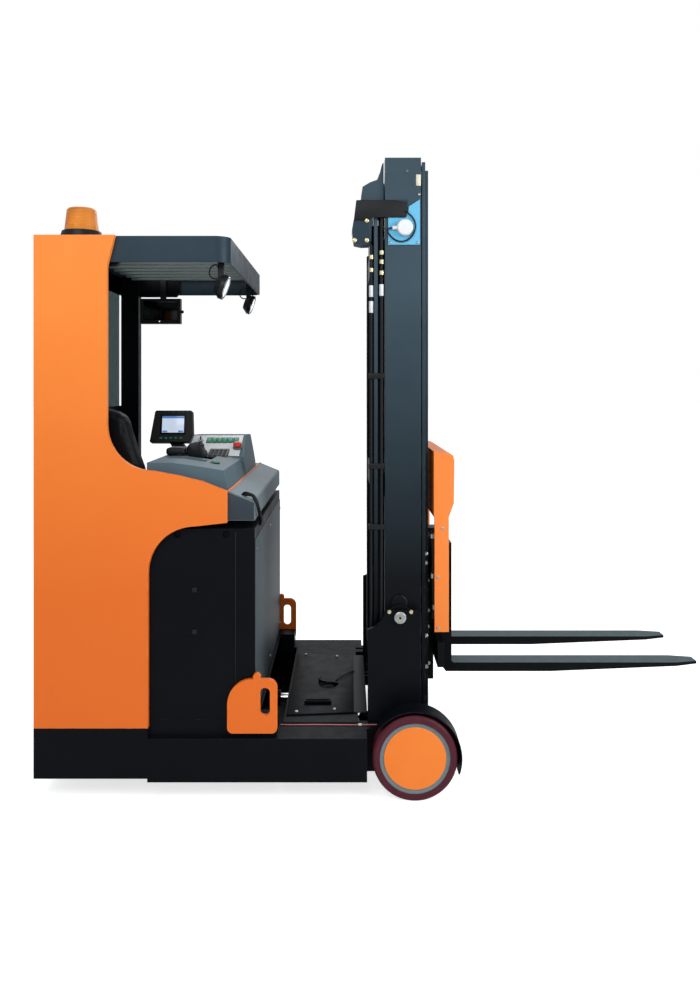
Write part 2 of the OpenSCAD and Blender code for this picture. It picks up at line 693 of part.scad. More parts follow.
module mast_outer() color([0.2, 0.25, 0.28]) {
    difference() {
        union() {
            rail(rail_bottom, mast_top) rail_plan(0, rail_depth, mast_half_w, mast_half_w, outer_tip);
            both_sides() shaft_y(boss_r, pivot_x, pivot_z, outer_web_in + 1, plate_in - run_gap);
        }
        both_sides() {
            shaft_y(pivot_r + pin_gap, pivot_x, pivot_z, outer_web_in - 1, plate_in);
            block([rail_depth - flange_t - 1, outer_tip - 1, mast_top - notch],
                [rail_depth + 1, outer_web_in, mast_top + 1]);
        }
    }
    stage_roller(mid_depth, outer_roller_x, mast_top - notch / 2, outer_tip, outer_web_in + 1);
    for (z = outer_cross_zs) {
        block([outer_cross_x, -outer_cross_y, z[0]], [outer_cross_x + cross_t, outer_cross_y, z[1]]);
        both_sides() {
            block([outer_cross_x, outer_cross_y - 12, z[0]], [-6, outer_cross_y, z[1]]);
            block([-8, outer_cross_y - 12, z[0]], [1, outer_tip + 10, z[1]]);
        }
    }
    both_sides() {
        block([outer_cross_x, outer_cross_y - 1, rail_bottom + 8], [outer_cross_x + cross_t, mast_half_w, 200]);
        block([outer_cross_x, mast_half_w - 8, rail_bottom + 8], [1, mast_half_w, 200]);
        block([barrel_x - 29, barrel_y - 34, 188], [barrel_x + 26, barrel_y + 34, 200]);
        for (y = [chain_y - chain_w / 2 - 11, chain_y + chain_w / 2 + run_gap])
            block([outer_cross_x + cross_t - 1, y, 1160], [-14, y + 6, 1240]);
    }
    for (y = tilt_ys) {
        for (side = [-1, 1]) side_plate(y + side * 23 - 6, 12) hull() {
            translate([tilt_eye_x, tilt_z]) circle(20, $fn = 32);
            translate([outer_cross_x, tilt_z - 25]) square([1, 50]);
        }
        shaft_y(tilt_pin_r, tilt_eye_x, tilt_z, y - 29, y + 29);
    }
}
barrel_x = -29;
barrel_y = mast_half_w - 41;
barrel_top = mast_top - 277;
module lift_barrels() color([0.1, 0.11, 0.12]) both_sides() difference() {
    shaft_z(lift_barrel_r, barrel_x, barrel_y, 200, barrel_top);
    shaft_z(lift_rod_r + pin_gap, barrel_x, barrel_y, 230, barrel_top + 1);
}

// Housing and bracket, and the round sensor's plate, near the top of the outer rail at low y
head_plate_z = mast_top - 217;
valve_z = mast_top - 359;
module mast_valve() color([0.28, 0.34, 0.33]) translate([0, -mast_half_w, valve_z]) {
    side_plate(-2, 92) polygon([[-129, 101], [-136, 60], [-128, 9], [-97, 2], [-64, 4], [-64, 136],
        [-112, 136]]);
    side_plate(-6, 6) polygon([[-112, 110], [-64, 110], [-64, 158], [92, 158], [92, 184], [-106, 184],
        [-112, 178]]);
}
module sensor_plate() color([0.35, 0.7, 0.9]) translate([0, -mast_half_w, valve_z]) {
    side_plate(-4, 4) polygon([[13, 1], [143, 1], [143, 187], [97, 157.5], [96, 129], [13, 129]]);
    shaft_y(31, 81, 70, -18, -4);
}

// Middle stage with its head plate, and the rods that lift it
mid_cross_x = -6;
mid_cross_t = 18;
mid_cross_y = mid_web_in - 9;
mid_roller_x = inner_x + inner_depth / 2;
mid_cross_zs = [[rail_bottom + 60, 230], [1300, 1400], [mast_top - 297, mast_top - 197]];
chain_pulley_x = 16;
chain_pulley_z = mast_top - 127;
chain_y = mid_web_in - 17;
chain_w = 20;
chain_side_in = chain_y - chain_w / 2 - run_gap;
chain_t = 8;
chain_r = 41;
module chain_slot() block([chain_pulley_x - chain_r - 9, chain_side_in, head_plate_z - 30],
    [chain_pulley_x + chain_r + 5, chain_y + chain_w / 2 + run_gap, chain_pulley_z + chain_r + 12]);
head_cheek_in = mid_web_in - 56;
head_cheek_out = barrel_y + 30;
module head_cheek(y, t) side_plate(y, t) translate([0, head_plate_z])
    polygon([[-98, 0], [mid_cross_x + 1, 0], [mid_cross_x + 1, 200], [-12, 192], [-20, 160], [-32, 129],
        [-62, 118], [-92, 100], [-98, 60]]);
module mast_mid() color([0.16, 0.2, 0.23]) {
    difference() {
        union() {
            rail(rail_bottom + 4, mid_top)
                rail_plan(mid_x, mid_depth, outer_web_in - run_gap, mid_web_out, mid_web_in - flange_len);
            both_sides() {
                block([-98, head_cheek_in, head_plate_z], [mid_cross_x + 1, head_cheek_out, head_plate_z + 35]);
                head_cheek(head_cheek_in, 12);
                head_cheek(head_cheek_out - 12, 12);
                side_plate(head_cheek_in, head_cheek_out - head_cheek_in) translate([0, head_plate_z])
                    polygon([[-98, 60], [-92, 100], [-62, 118], [-64, 112], [-86, 96], [-90, 60]]);
                for (y = [chain_side_in - 6, chain_y + chain_w / 2 + run_gap])
                    block([mid_cross_x, y, head_plate_z + 10], [mid_x + 8, y + 6, chain_pulley_z + 14]);
            }
        }
        both_sides() {
            chain_slot();
            block([mid_x - 1, mid_web_out, rail_bottom], [mid_x + flange_t + 1, mast_half_w, rail_bottom + notch]);
            block([mid_x + mid_depth - flange_t - 1, mid_web_in - flange_len - 1, mid_top - notch],
                [mid_x + mid_depth + 1, mid_web_in, mast_top]);
        }
    }
    for (z = mid_cross_zs) {
        block([mid_cross_x, -mid_cross_y, z[0]], [mid_cross_x + mid_cross_t, mid_cross_y, z[1]]);
        both_sides() block([mid_cross_x + mid_cross_t - 1, mid_web_in - 54, z[0]], [mid_x + 1, mid_cross_y, z[1]]);
    }
    stage_roller(rail_depth, rail_depth / 2, rail_bottom + notch / 2 + 4, mid_web_out - 1, outer_web_in - run_gap);
    stage_roller(inner_depth, mid_roller_x, mid_top - notch / 2, inner_web_out + run_gap, mid_web_in + 1);
    both_sides() {
        shaft_y(chain_r - chain_t / 2, chain_pulley_x, chain_pulley_z, chain_y - 14, chain_y + 14);
        for (y = [chain_y - chain_w / 2 - 4, chain_y + chain_w / 2 + 0.5])
            shaft_y(chain_r + chain_t / 2, chain_pulley_x, chain_pulley_z, y, y + 3.5);
        shaft_y(9, chain_pulley_x, chain_pulley_z, chain_side_in - 5, chain_y + 20);
    }
}
rod_engaged = 30;
module lift_rods() color([0.8, 0.82, 0.84]) both_sides()
    shaft_z(lift_rod_r, barrel_x, barrel_y, barrel_top - stage_lift - rod_engaged, head_plate_z);

// Lift chains over the pulleys of the middle stage
module chain_loop(x, z, r, w, low_rear, low_front) {
    for (run = [[-1, low_rear], [1, low_front]])
        translate([x + run[0] * r - chain_t / 2, 0, run[1]]) cube([chain_t, w, z - run[1]]);
    side_plate(0, w) difference() {
        translate([x, z]) circle(r + chain_t / 2);
        translate([x, z]) circle(r - chain_t / 2);
        translate([x - r - chain_t, z - r - chain_t]) square([2 * (r + chain_t), r + chain_t]);
    }
}
module lift_chains() color([0.3, 0.3, 0.3]) both_sides() translate([0, chain_y - chain_w / 2, 0])
    chain_loop(chain_pulley_x, chain_pulley_z, chain_r, chain_w, 260, 260);

// Inner stage with the free lift barrel
inner_cross_x = 26;
inner_cross_t = 18;
inner_cross_zs = [[rail_bottom + 80, 260], [1200, 1260], [mast_top - 347, mast_top - 247]];
module mast_inner() color([0.16, 0.2, 0.23]) {
    difference() {
        rail(rail_bottom + 8, inner_top)
            rail_plan(inner_x, inner_depth, mid_web_in - run_gap, inner_web_out, inner_tip);
        both_sides() block([inner_x - 1, inner_web_out, rail_bottom],
            [inner_x + flange_t + 1, mid_web_in, rail_bottom + 8 + notch]);
    }
    for (z = inner_cross_zs) {
        block([inner_cross_x, -inner_web_out, z[0]], [inner_cross_x + inner_cross_t, inner_web_out, z[1]]);
        both_sides() block([inner_cross_x + inner_cross_t - 1, inner_tip + 10, z[0]],
            [inner_x + 1, inner_web_out, z[1]]);
    }
    block([inner_cross_x, -60, rail_bottom + 80], [free_x + 50, 60, 190]);
    difference() {
        block([inner_cross_x, -50, 1200], [free_x - 20, 50, 1260]);
        shaft_z(free_barrel_r + pin_gap, free_x, 0, 1199, 1261);
    }
    stage_roller(mid_depth, outer_roller_x, rail_bottom + 8 + notch / 2, inner_web_out - 1, chain_side_in);
    both_sides() block([inner_x - 12, chain_side_in - 6, 230], [inner_x + 1, chain_side_in, 300]);
}
free_x = 120;
free_barrel_r = 42;
free_rod_r = 28;
free_barrel_floor = 220;
free_rod_engaged = 190;
free_rod_low = free_barrel_floor + fork_drop / 2 + 10;
free_barrel_top = free_rod_low + fork_lift / 2 + free_rod_engaged;
head_z = free_barrel_top + fork_drop / 2 + 80;
module free_lift_barrel() color([0.1, 0.11, 0.12]) difference() {
    shaft_z(free_barrel_r, free_x, 0, 190, free_barrel_top);
    shaft_z(free_rod_r + pin_gap, free_x, 0, free_barrel_floor, free_barrel_top + 1);
}
head_chain_r = 58;
head_chain_y = 78;
module free_lift_head() color([0.5, 0.52, 0.54]) {
    shaft_z(free_rod_r, free_x, 0, free_rod_low, head_z - 10);
    block([free_x - 20, -head_chain_y - 22, head_z - 12], [free_x + 20, head_chain_y + 22, head_z + 12]);
    both_sides() {
        shaft_y(head_chain_r - 5, free_x, head_z, head_chain_y - 14, head_chain_y + 14);
        for (y = [head_chain_y - 16, head_chain_y + 12.5])
            shaft_y(head_chain_r + chain_t / 2, free_x, head_z, y, y + 3.5);
    }
}
module carriage_chains() color([0.3, 0.3, 0.3]) both_sides() translate([0, head_chain_y - 12, 0])
    chain_loop(free_x, head_z, head_chain_r, 24, 440, 470);

// Fork carriage: roller plates, fork bars and chain anchors
cart_plate_low = 330;
cart_plate_top = 950;
cart_bars = [[440, 540], [815, 915]];
cart_plate_y = inner_tip - 30;
bar_x = 222;
post_in_y = mast_half_w - 49;
shank_t = 48;
shank_x = fork_face_x - shank_t;
cart_roller_x = inner_x + inner_depth / 2;
module fork_carriage() color([0.07, 0.08, 0.09]) {
    both_sides() {
        block([96, cart_plate_y, cart_plate_low], [bar_x, cart_plate_y + 22, cart_plate_top]);
        for (z = [cart_plate_low + 100, cart_plate_top - 80]) {
            shaft_y(16, cart_roller_x, z, cart_plate_y + 21, inner_tip + 1);
            shaft_y(roller_r(inner_depth), cart_roller_x, z, inner_tip + 1, inner_web_in - run_gap);
        }
    }
    for (z = cart_bars)
        block([bar_x - 1, -post_in_y, z[0]], [shank_x - seat_gap, post_in_y, z[1]]);
    both_sides() block([bar_x - 4, cart_plate_y - 60, cart_bars[0][1] - 1],
        [bar_x + 10, cart_plate_y + 72, cart_bars[1][0] + 1]);
    block([bar_x - 4, -cart_plate_y - 72, 580], [bar_x + 10, cart_plate_y + 72, 660]);
    both_sides() for (side = [-1, 1])
        block([free_x + head_chain_r - 20, head_chain_y + side * 26 - 7, 590],
            [bar_x, head_chain_y + side * 26 + 7, 650]);
}

// Edge posts of the fork carriage with the hollow head fairing between them
post_low = 591;
fairing_low = 1067;
fairing_rear_x = 204;
fairing_wall = 5;
module fairing_outline(inset) polygon([[fairing_rear_x + inset, fairing_low - inset],
    [266 - inset, fairing_low - inset], [287 - inset, fairing_low + 58], [289 - inset, 1300],
    [284 - inset, 1322 - inset], [270 - inset, 1329 - inset], [229, 1333 - inset],
    [fairing_rear_x + inset, 1339 - inset]]);
module fork_fairing() color([0.93, 0.5, 0.22]) {
    both_sides() block([207, post_in_y, post_low], [266, post_in_y + 16, fairing_low + 14]);
    difference() {
        side_plate(-post_in_y - 16, 2 * post_in_y + 32) fairing_outline(0);
        side_plate(-post_in_y - 16 + fairing_wall, 2 * (post_in_y + 16 - fairing_wall)) fairing_outline(fairing_wall);
    }
}

// Forks: shank, heel, and a blade that tapers to its tip from below and from both sides
taper_x = 726;
tip_x = fork_face_x + fork_len;
tip_taper = 95;
tip_w = 58;
shank_top = cart_bars[1][1] + 15;
blade_top = fork_bottom + fork_t;
hook_len = 14;
module fork_side() polygon([[shank_x, fork_bottom + 30], [shank_x + 24, fork_bottom],
    [taper_x, fork_bottom], [tip_x, blade_top - 12], [tip_x, blade_top], [fork_face_x + 8, blade_top],
    [fork_face_x, blade_top + 8], [fork_face_x, shank_top], [shank_x - hook_len, shank_top],
    [shank_x - hook_len, cart_bars[1][1] + seat_gap], [shank_x, cart_bars[1][1] + seat_gap],
    [shank_x, cart_bars[0][0] - seat_gap], [shank_x - hook_len, cart_bars[0][0] - seat_gap],
    [shank_x - hook_len, cart_bars[0][0] - 18], [shank_x, cart_bars[0][0] - 18]]);
module fork_top() polygon([[shank_x - 2 * hook_len, -fork_w / 2], [tip_x - tip_taper, -fork_w / 2],
    [tip_x, -tip_w / 2], [tip_x, tip_w / 2], [tip_x - tip_taper, fork_w / 2],
    [shank_x - 2 * hook_len, fork_w / 2]]);
module forks() color([0.12, 0.13, 0.14])
    for (y = [-fork_y, fork_y]) intersection() {
        side_plate(y - fork_w / 2, fork_w) fork_side();
        translate([0, y, fork_bottom - 1]) linear_extrude(shank_top - fork_bottom + 2) fork_top();
    }

chassis();
side_panel();
rear_cover();
cab_frame();
seat_base();
seat_cushion();
backrest();
battery();
battery_locks();
hood();
console();
console_controls();
display();
guard_frame();
guard_bars();
rear_posts();
rear_window();
work_lamps();
beacon_base();
beacon_lens();
monitor();
fenders();
reach_barrel();
steering_wheel();
load_tyre_near();
load_hub_near();
load_tyre_far();
load_hub_far();
drive_unit();
drive_wheel();
carriage();
reach_rod();
tilt_barrels();
tilt_rods();
mast_outer();
lift_barrels();
mast_valve();
sensor_plate();
mast_mid();
lift_rods();
lift_chains();
mast_inner();
free_lift_barrel();
free_lift_head();
carriage_chains();
fork_carriage();
fork_fairing();
forks();
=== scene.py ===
# %% [markdown]
# Reach truck: loading the frame
#
# A reach truck is a warehouse forklift: it stands on two support legs, and its mast slides forward
# between them. The steel pieces come from a CAD frame at their real size. This script gives every
# piece its finish, and adds the bolts, hoses, lamps and upholstery that a solid modeller leaves out.

import math

import bmesh
import bpy
from mathutils import Matrix, Vector


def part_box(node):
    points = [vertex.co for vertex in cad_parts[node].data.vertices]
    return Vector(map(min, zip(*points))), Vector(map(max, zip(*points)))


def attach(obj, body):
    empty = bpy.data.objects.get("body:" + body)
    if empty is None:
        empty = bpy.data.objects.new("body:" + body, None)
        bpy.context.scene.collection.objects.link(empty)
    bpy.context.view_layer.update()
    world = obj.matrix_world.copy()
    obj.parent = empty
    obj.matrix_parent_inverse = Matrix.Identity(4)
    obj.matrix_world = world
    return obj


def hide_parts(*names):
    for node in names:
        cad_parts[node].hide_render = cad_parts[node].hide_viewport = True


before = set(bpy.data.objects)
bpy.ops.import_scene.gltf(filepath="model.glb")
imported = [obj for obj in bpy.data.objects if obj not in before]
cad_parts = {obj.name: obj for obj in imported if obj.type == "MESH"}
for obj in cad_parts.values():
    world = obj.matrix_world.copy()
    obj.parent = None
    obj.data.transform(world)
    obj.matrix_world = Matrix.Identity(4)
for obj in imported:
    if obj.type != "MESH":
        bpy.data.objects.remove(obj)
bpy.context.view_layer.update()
MM = 0.001

# %% [markdown]
# The camera
#
# The truck was photographed square on from its near side. The lines that run away from the viewer
# all meet in one point, level with the operator's eyes, and the mast's edges stay parallel. That is
# one-point perspective: the camera looks level, and a small lens shift frames the truck's wheels and
# mast top.

# %% Camera
PICTURE_W = 700
PICTURE_H = 1000
VANISHING_PX = 346
HORIZON_PX = 386
FOCAL_PX = 841
EYE = Vector((-0.160, -3.891, 1.610))

camera_data = bpy.data.cameras.new("camera")
camera_data.sensor_width = 36
camera_data.lens = FOCAL_PX / PICTURE_H * camera_data.sensor_width
camera_data.shift_x = (PICTURE_W / 2 - VANISHING_PX) / PICTURE_H
camera_data.shift_y = (HORIZON_PX - PICTURE_H / 2) / PICTURE_H
camera = bpy.data.objects.new("camera", camera_data)
camera.location = EYE
camera.rotation_euler = (math.radians(90), 0, 0)
bpy.context.collection.objects.link(camera)
bpy.context.scene.camera = camera
print("lens", round(camera_data.lens, 2), "mm, shift", camera_data.shift_x, camera_data.shift_y)

# %% [markdown]
# Colour and node helpers
#
# Colours are written as the sRGB hex values that a paint chart gives. Blender's shaders compute with
# linear light, so one function converts them. One more function adds a shader node with its settings
# and its links, which keeps every material below readable from top to bottom.

# %% Helpers for colours and nodes
def srgb(hex_code):
    """Turns a colour such as "E8782F" into linear RGBA."""
    channels = [int(hex_code[i:i + 2], 16) / 255 for i in (0, 2, 4)]
    linear = [c / 12.92 if c <= 0.04045 else ((c + 0.055) / 1.055) ** 2.4 for c in channels]
    return (*linear, 1.0)


def node(tree, kind, inputs=None, **settings):
    """Adds a node. inputs maps a socket's name or number to a value or to another node's output."""
    made = tree.nodes.new("ShaderNode" + kind)
    for key, value in settings.items():
        setattr(made, key, value)
    for key, value in (inputs or {}).items():
        socket = made.inputs[key]
        if isinstance(value, bpy.types.NodeSocket):
            tree.links.new(value, socket)
        else:
            socket.default_value = value
    return made


def new_material(name):
    """An empty material with its output node."""
    material = bpy.data.materials.new(name)
    material.use_nodes = True
    tree = material.node_tree
    tree.nodes.clear()
    return material, tree, node(tree, "OutputMaterial")


def blend_tones(tree, factor, dark, light):
    """One colour where factor is 0, the other where it is 1. Either may be a hex code or a socket."""
    tones = node(tree, "Mix", {0: factor}, data_type="RGBA")
    for slot, tone in ((6, dark), (7, light)):
        if isinstance(tone, str):
            tones.inputs[slot].default_value = srgb(tone)
        else:
            tree.links.new(tone, tones.inputs[slot])
    return tones.outputs[2]


def mottled(tree, place, dark, light, size_mm, detail=4.0):
    """A colour that drifts between two tones over patches of a real size."""
    noise = node(tree, "TexNoise", {"Vector": place, "Scale": 1 / (size_mm * MM), "Detail": detail})
    return blend_tones(tree, noise.outputs["Fac"], dark, light)


print("helpers ready")

# %% [markdown]
# Powder-coated steel
#
# Most of the truck is sheet steel with a baked powder coat. Powder melts into a skin with a fine
# "orange peel" waviness of two or three millimetres, so highlights stay soft and slightly broken.
# Folded sheet has no knife edges: a Bevel node rounds the shading of each edge by a few millimetres,
# and where the rounded direction leaves the flat one, the edge is rubbed a little lighter by handling.

# %% Powder coat
EDGE_MM = 2.5
ORANGE_PEEL_MM = 2.6


def rubbed_edges(tree, place, tone, worn):
    """Lightens the edges in patches, and returns the tone and the rounded normal."""
    rounded = node(tree, "Bevel", {"Radius": EDGE_MM * MM}, samples=4)
    flat = node(tree, "NewGeometry")
    turn = node(tree, "VectorMath", {0: rounded.outputs["Normal"], 1: flat.outputs["Normal"]},
                operation="DOT_PRODUCT")
    edge = node(tree, "MapRange", {"Value": turn.outputs["Value"], "From Min": 0.99, "From Max": 0.80})
    patches = node(tree, "TexNoise", {"Vector": place, "Scale": 1 / (35 * MM), "Detail": 6.0})
    some = node(tree, "MapRange", {"Value": patches.outputs["Fac"], "From Min": 0.45, "From Max": 0.65})
    share = node(tree, "Math", {0: edge.outputs["Result"], 1: some.outputs["Result"]},
                 operation="MULTIPLY")
    return blend_tones(tree, share.outputs["Value"], tone, worn), rounded.outputs["Normal"]


def powder_coat(name, dark, light, worn, roughness, shine=0.5, shaded_foot=None):
    """Baked powder coat: drifting tone, rubbed edges, orange peel, and scuffs that change the gloss.
    The foot tone is a darker tone that takes over towards the floor: painted shade, as less light falls
    low down."""
    material, tree, output = new_material(name)
    place = node(tree, "TexCoord").outputs["Object"]
    tone = mottled(tree, place, dark, light, 300)
    # Painted shade: from 2 m down to 0.8 m the tone darkens into the foot tone, as less light falls low
    # down.
    if shaded_foot:
        height = node(tree, "SeparateXYZ", {"Vector": place}).outputs["Z"]
        lit_share = node(tree, "MapRange", {"Value": height, "From Min": 0.8, "From Max": 2.0})
        tone = blend_tones(tree, lit_share.outputs["Result"], shaded_foot, tone)
    tone, rounded = rubbed_edges(tree, place, tone, worn)
    peel = node(tree, "TexNoise", {"Vector": place, "Scale": 1 / (ORANGE_PEEL_MM * MM),
                                   "Detail": 2.0})
    smear = node(tree, "TexNoise", {"Vector": place, "Scale": 1 / (60 * MM), "Detail": 8.0,
                                    "Roughness": 0.7})
    gloss = node(tree, "MapRange", {"Value": smear.outputs["Fac"], "From Min": 0.35, "From Max": 0.7,
                                    "To Min": roughness - 0.06, "To Max": roughness + 0.1})
    bump = node(tree, "Bump", {"Height": peel.outputs["Fac"], "Strength": 0.15, "Distance": 0.0005,
                               "Normal": rounded})
    shader = node(tree, "BsdfPrincipled", {"Base Color": tone, "Roughness": gloss.outputs["Result"],
                                           "IOR": 1.5, "Specular IOR Level": shine,
                                           "Normal": bump.outputs["Normal"]})
    tree.links.new(shader.outputs["BSDF"], output.inputs["Surface"])
    return material


# The orange panels darken towards the floor into E87026: painted shade.
orange_coat = powder_coat("orange_powder_coat", "F88532", "FE9540", "FFB880", 0.42, 0.2,
                          shaded_foot="E87026")
fairing_coat = powder_coat("orange_fairing_coat", "EE7F38", "F68C42", "FFB588", 0.42, 0.2)
black_coat = powder_coat("black_powder_coat", "07090C", "0D1015", "2E363D", 0.40, 0.08)
# The mast is black paint. Its slate tone is painted reflection of a bright ceiling, and its near-black
# foot is painted shade.
mast_coat_painted_sheen = powder_coat("mast_black_coat_painted_sheen", "31414B", "43555F", "5C6C76", 0.42, 0.12, shaded_foot="080B0F")
guard_coat = powder_coat("guard_powder_coat", "22333D", "2B3D48", "485964", 0.42, 0.15)
bar_coat = powder_coat("light_grey_powder_coat", "56625F", "6A7673", "8E9A97", 0.5, 0.3)
sky_coat = powder_coat("sky_blue_powder_coat", "5AACD2", "6CBCE0", "A2D6EE", 0.5, 0.3)
print("powder coats made")

# %% [markdown]
# The load wheel's disc
#
# The support wheels carry a painted orange disc inside a bare grey rim. One solid holds both, so the
# paint ends at a radius: the distance from the axle, measured in the wheel's own coordinates, which
# turn with it.

# %% Disc and rim
DISC_R_MM = 121
wheel_low, wheel_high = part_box("load_hub_near")
AXLE = Vector(((wheel_low[0] + wheel_high[0]) / 2, 0, (wheel_low[2] + wheel_high[2]) / 2))


def painted_disc(name):
    """Orange enamel inside a radius about the axle, and zinc primer outside it."""
    material, tree, output = new_material(name)
    place = node(tree, "TexCoord").outputs["Object"]
    across = node(tree, "VectorMath", {0: place, 1: (1, 0, 1)}, operation="MULTIPLY")
    reach = node(tree, "VectorMath", {0: across.outputs["Vector"], 1: tuple(AXLE)},
                 operation="DISTANCE")
    outside = node(tree, "Math", {0: reach.outputs["Value"], 1: DISC_R_MM * MM},
                   operation="GREATER_THAN")
    paint = mottled(tree, place, "F07A24", "F98B36", 120)
    rim = mottled(tree, place, "5F6E72", "7C8B8D", 14)
    tone = blend_tones(tree, outside.outputs["Value"], paint, rim)
    peel = node(tree, "TexNoise", {"Vector": place, "Scale": 1 / (ORANGE_PEEL_MM * MM),
                                   "Detail": 2.0})
    bump = node(tree, "Bump", {"Height": peel.outputs["Fac"], "Strength": 0.15, "Distance": 0.0005})
    shader = node(tree, "BsdfPrincipled", {"Base Color": tone, "Roughness": 0.42, "IOR": 1.5,
                                           "Specular IOR Level": 0.3,
                                           "Normal": bump.outputs["Normal"]})
    tree.links.new(shader.outputs["BSDF"], output.inputs["Surface"])
    return material


disc_enamel = painted_disc("orange_disc_enamel")
print("disc painted to", DISC_R_MM, "mm about", [round(v, 3) for v in AXLE])

# %% [markdown]
# Moulded plastics
#
# The hood, the console and the housings are injection moulded ABS or polypropylene. Their moulds are
# etched with a fine grain, about a millimetre across, which scatters light and hides sink marks.

# %% Moulded plastic
def moulded_plastic(name, dark, light, roughness, grain_mm=1.6, shine=0.4):
    """Injection moulded plastic with soft edges and an etched grain."""
    material, tree, output = new_material(name)
    place = node(tree, "TexCoord").outputs["Object"]
    tone = mottled(tree, place, dark, light, 150)
    cells = node(tree, "TexVoronoi", {"Vector": place, "Scale": 1 / (grain_mm * MM)})
    rounded = node(tree, "Bevel", {"Radius": 2 * EDGE_MM * MM}, samples=4)
    bump = node(tree, "Bump", {"Height": cells.outputs["Distance"], "Strength": 0.25,
                               "Distance": 0.0003, "Normal": rounded.outputs["Normal"]})
    shader = node(tree, "BsdfPrincipled", {"Base Color": tone, "Roughness": roughness, "IOR": 1.53,
                                           "Specular IOR Level": shine,
                                           "Normal": bump.outputs["Normal"]})
    tree.links.new(shader.outputs["BSDF"], output.inputs["Surface"])
    return material


hood_plastic = moulded_plastic("hood_polypropylene", "5C6E74", "697B81", 0.5)
# A darker copy of the hood plastic: painted shade for the hood's near side.
hood_side_shade_plastic = moulded_plastic("hood_side_painted_shade", "1E2A32", "28353E", 0.5)
console_plastic = moulded_plastic("console_abs", "445A64", "526B75", 0.5)
# A grey copy of the black battery case: painted light for its front face, which faces the light.
battery_front_light_plastic = moulded_plastic("battery_front_painted_light", "434F54", "4F5B60", 0.5)
black_plastic = moulded_plastic("black_abs", "0C0E10", "15181B", 0.42, shine=0.25)
white_plastic = moulded_plastic("white_abs", "D8DCDE", "E8EBEC", 0.4)
cream_plastic = moulded_plastic("cream_nylon", "D8D2B8", "E6E1CB", 0.5)
green_plastic = moulded_plastic("green_abs", "1E8A66", "2FA37C", 0.35)
red_plastic = moulded_plastic("red_abs", "D02A22", "E03A2E", 0.3)
pink_plastic = moulded_plastic("pink_cable_sheath", "A8646A", "BC787C", 0.5)
rubber = moulded_plastic("black_nitrile_rubber", "0D0E10", "16181A", 0.55, 3.0, 0.25)
print("plastics made")

# %% [markdown]
# Tyres and upholstery
#
# A reach truck runs indoors on solid polyurethane treads, bonded to cast wheels. Polyurethane is
# smooth, slightly waxy, and picks up dust from the floor on its running face. The seat is covered in
# vinyl: a leather-like skin whose pebbles are a millimetre or two across.

# %% Polyurethane and vinyl
def polyurethane(name, dark, light):
    """A cast tread with floor dust that gathers in soft patches."""
    material, tree, output = new_material(name)
    place = node(tree, "TexCoord").outputs["Object"]
    tone = mottled(tree, place, dark, light, 45, 6.0)
    dust = node(tree, "TexNoise", {"Vector": place, "Scale": 1 / (9 * MM), "Detail": 6.0})
    gloss = node(tree, "MapRange", {"Value": dust.outputs["Fac"], "From Min": 0.35, "From Max": 0.65,
                                    "To Min": 0.42, "To Max": 0.62})
    rounded = node(tree, "Bevel", {"Radius": 2 * EDGE_MM * MM}, samples=4)
    bump = node(tree, "Bump", {"Height": dust.outputs["Fac"], "Strength": 0.15, "Distance": 0.0004,
                               "Normal": rounded.outputs["Normal"]})
    shader = node(tree, "BsdfPrincipled", {"Base Color": tone, "Roughness": gloss.outputs["Result"],
                                           "IOR": 1.5, "Specular IOR Level": 0.3,
                                           "Normal": bump.outputs["Normal"]})
    tree.links.new(shader.outputs["BSDF"], output.inputs["Surface"])
    return material


def vinyl(name, dark, light, pebble_mm=2.0):
    """Upholstery vinyl with a pebbled skin."""
    material, tree, output = new_material(name)
    place = node(tree, "TexCoord").outputs["Object"]
    tone = mottled(tree, place, dark, light, 60)
    pebbles = node(tree, "TexVoronoi", {"Vector": place, "Scale": 1 / (pebble_mm * MM)},
                   feature="SMOOTH_F1")
    bump = node(tree, "Bump", {"Height": pebbles.outputs["Distance"], "Strength": 0.35,
                               "Distance": 0.0005}, invert=True)
    shader = node(tree, "BsdfPrincipled", {"Base Color": tone, "Roughness": 0.5, "IOR": 1.5,
                                           "Specular IOR Level": 0.12,
                                           "Normal": bump.outputs["Normal"]})
    tree.links.new(shader.outputs["BSDF"], output.inputs["Surface"])
    return material


load_tread = polyurethane("wine_red_polyurethane", "43101E", "561828")
drive_tread = polyurethane("brown_polyurethane", "5A3A28", "6B4733")
seat_vinyl = vinyl("black_vinyl", "08090B", "0F1113")
print("treads and vinyl made")

# %% [markdown]
# Bare metals
#
# Lift rods are hard chromed and ground, so they mirror the mast. Leaf chains are oiled steel, built
# from plates on pins 19 mm apart, which a wave along the strand shows as bars. The forks are hot
# forged: pallets wear their tops bright, with long scratches along the blade, while their sides stay
# black from the forge. That difference follows the way the surface faces, so the material asks for the
# upward part of the normal.

# %% Metals
WAVE_M = 0.314  # a Wave texture of scale 1 repeats after this length
LINK_PITCH_MM = 19
FORK_METALLIC = 0.35


def bare_metal(name, dark, light, roughness, scratch_mm=(200, 2, 2), scratch=0.12):
    """Bare or plated steel with scratches drawn out along one axis."""
    material, tree, output = new_material(name)
    place = node(tree, "TexCoord").outputs["Object"]
    tone = mottled(tree, place, dark, light, 90, 6.0)
    stretch = node(tree, "Mapping", {"Vector": place,
                                     "Scale": tuple(1 / (size * MM) for size in scratch_mm)})
    lines = node(tree, "TexNoise", {"Vector": stretch.outputs["Vector"], "Scale": 1.0, "Detail": 5.0})
    gloss = node(tree, "MapRange", {"Value": lines.outputs["Fac"], "From Min": 0.3, "From Max": 0.7,
                                    "To Min": roughness, "To Max": roughness + scratch})
    shader = node(tree, "BsdfPrincipled", {"Base Color": tone, "Metallic": 1.0,
                                           "Roughness": gloss.outputs["Result"]})
    tree.links.new(shader.outputs["BSDF"], output.inputs["Surface"])
    return material


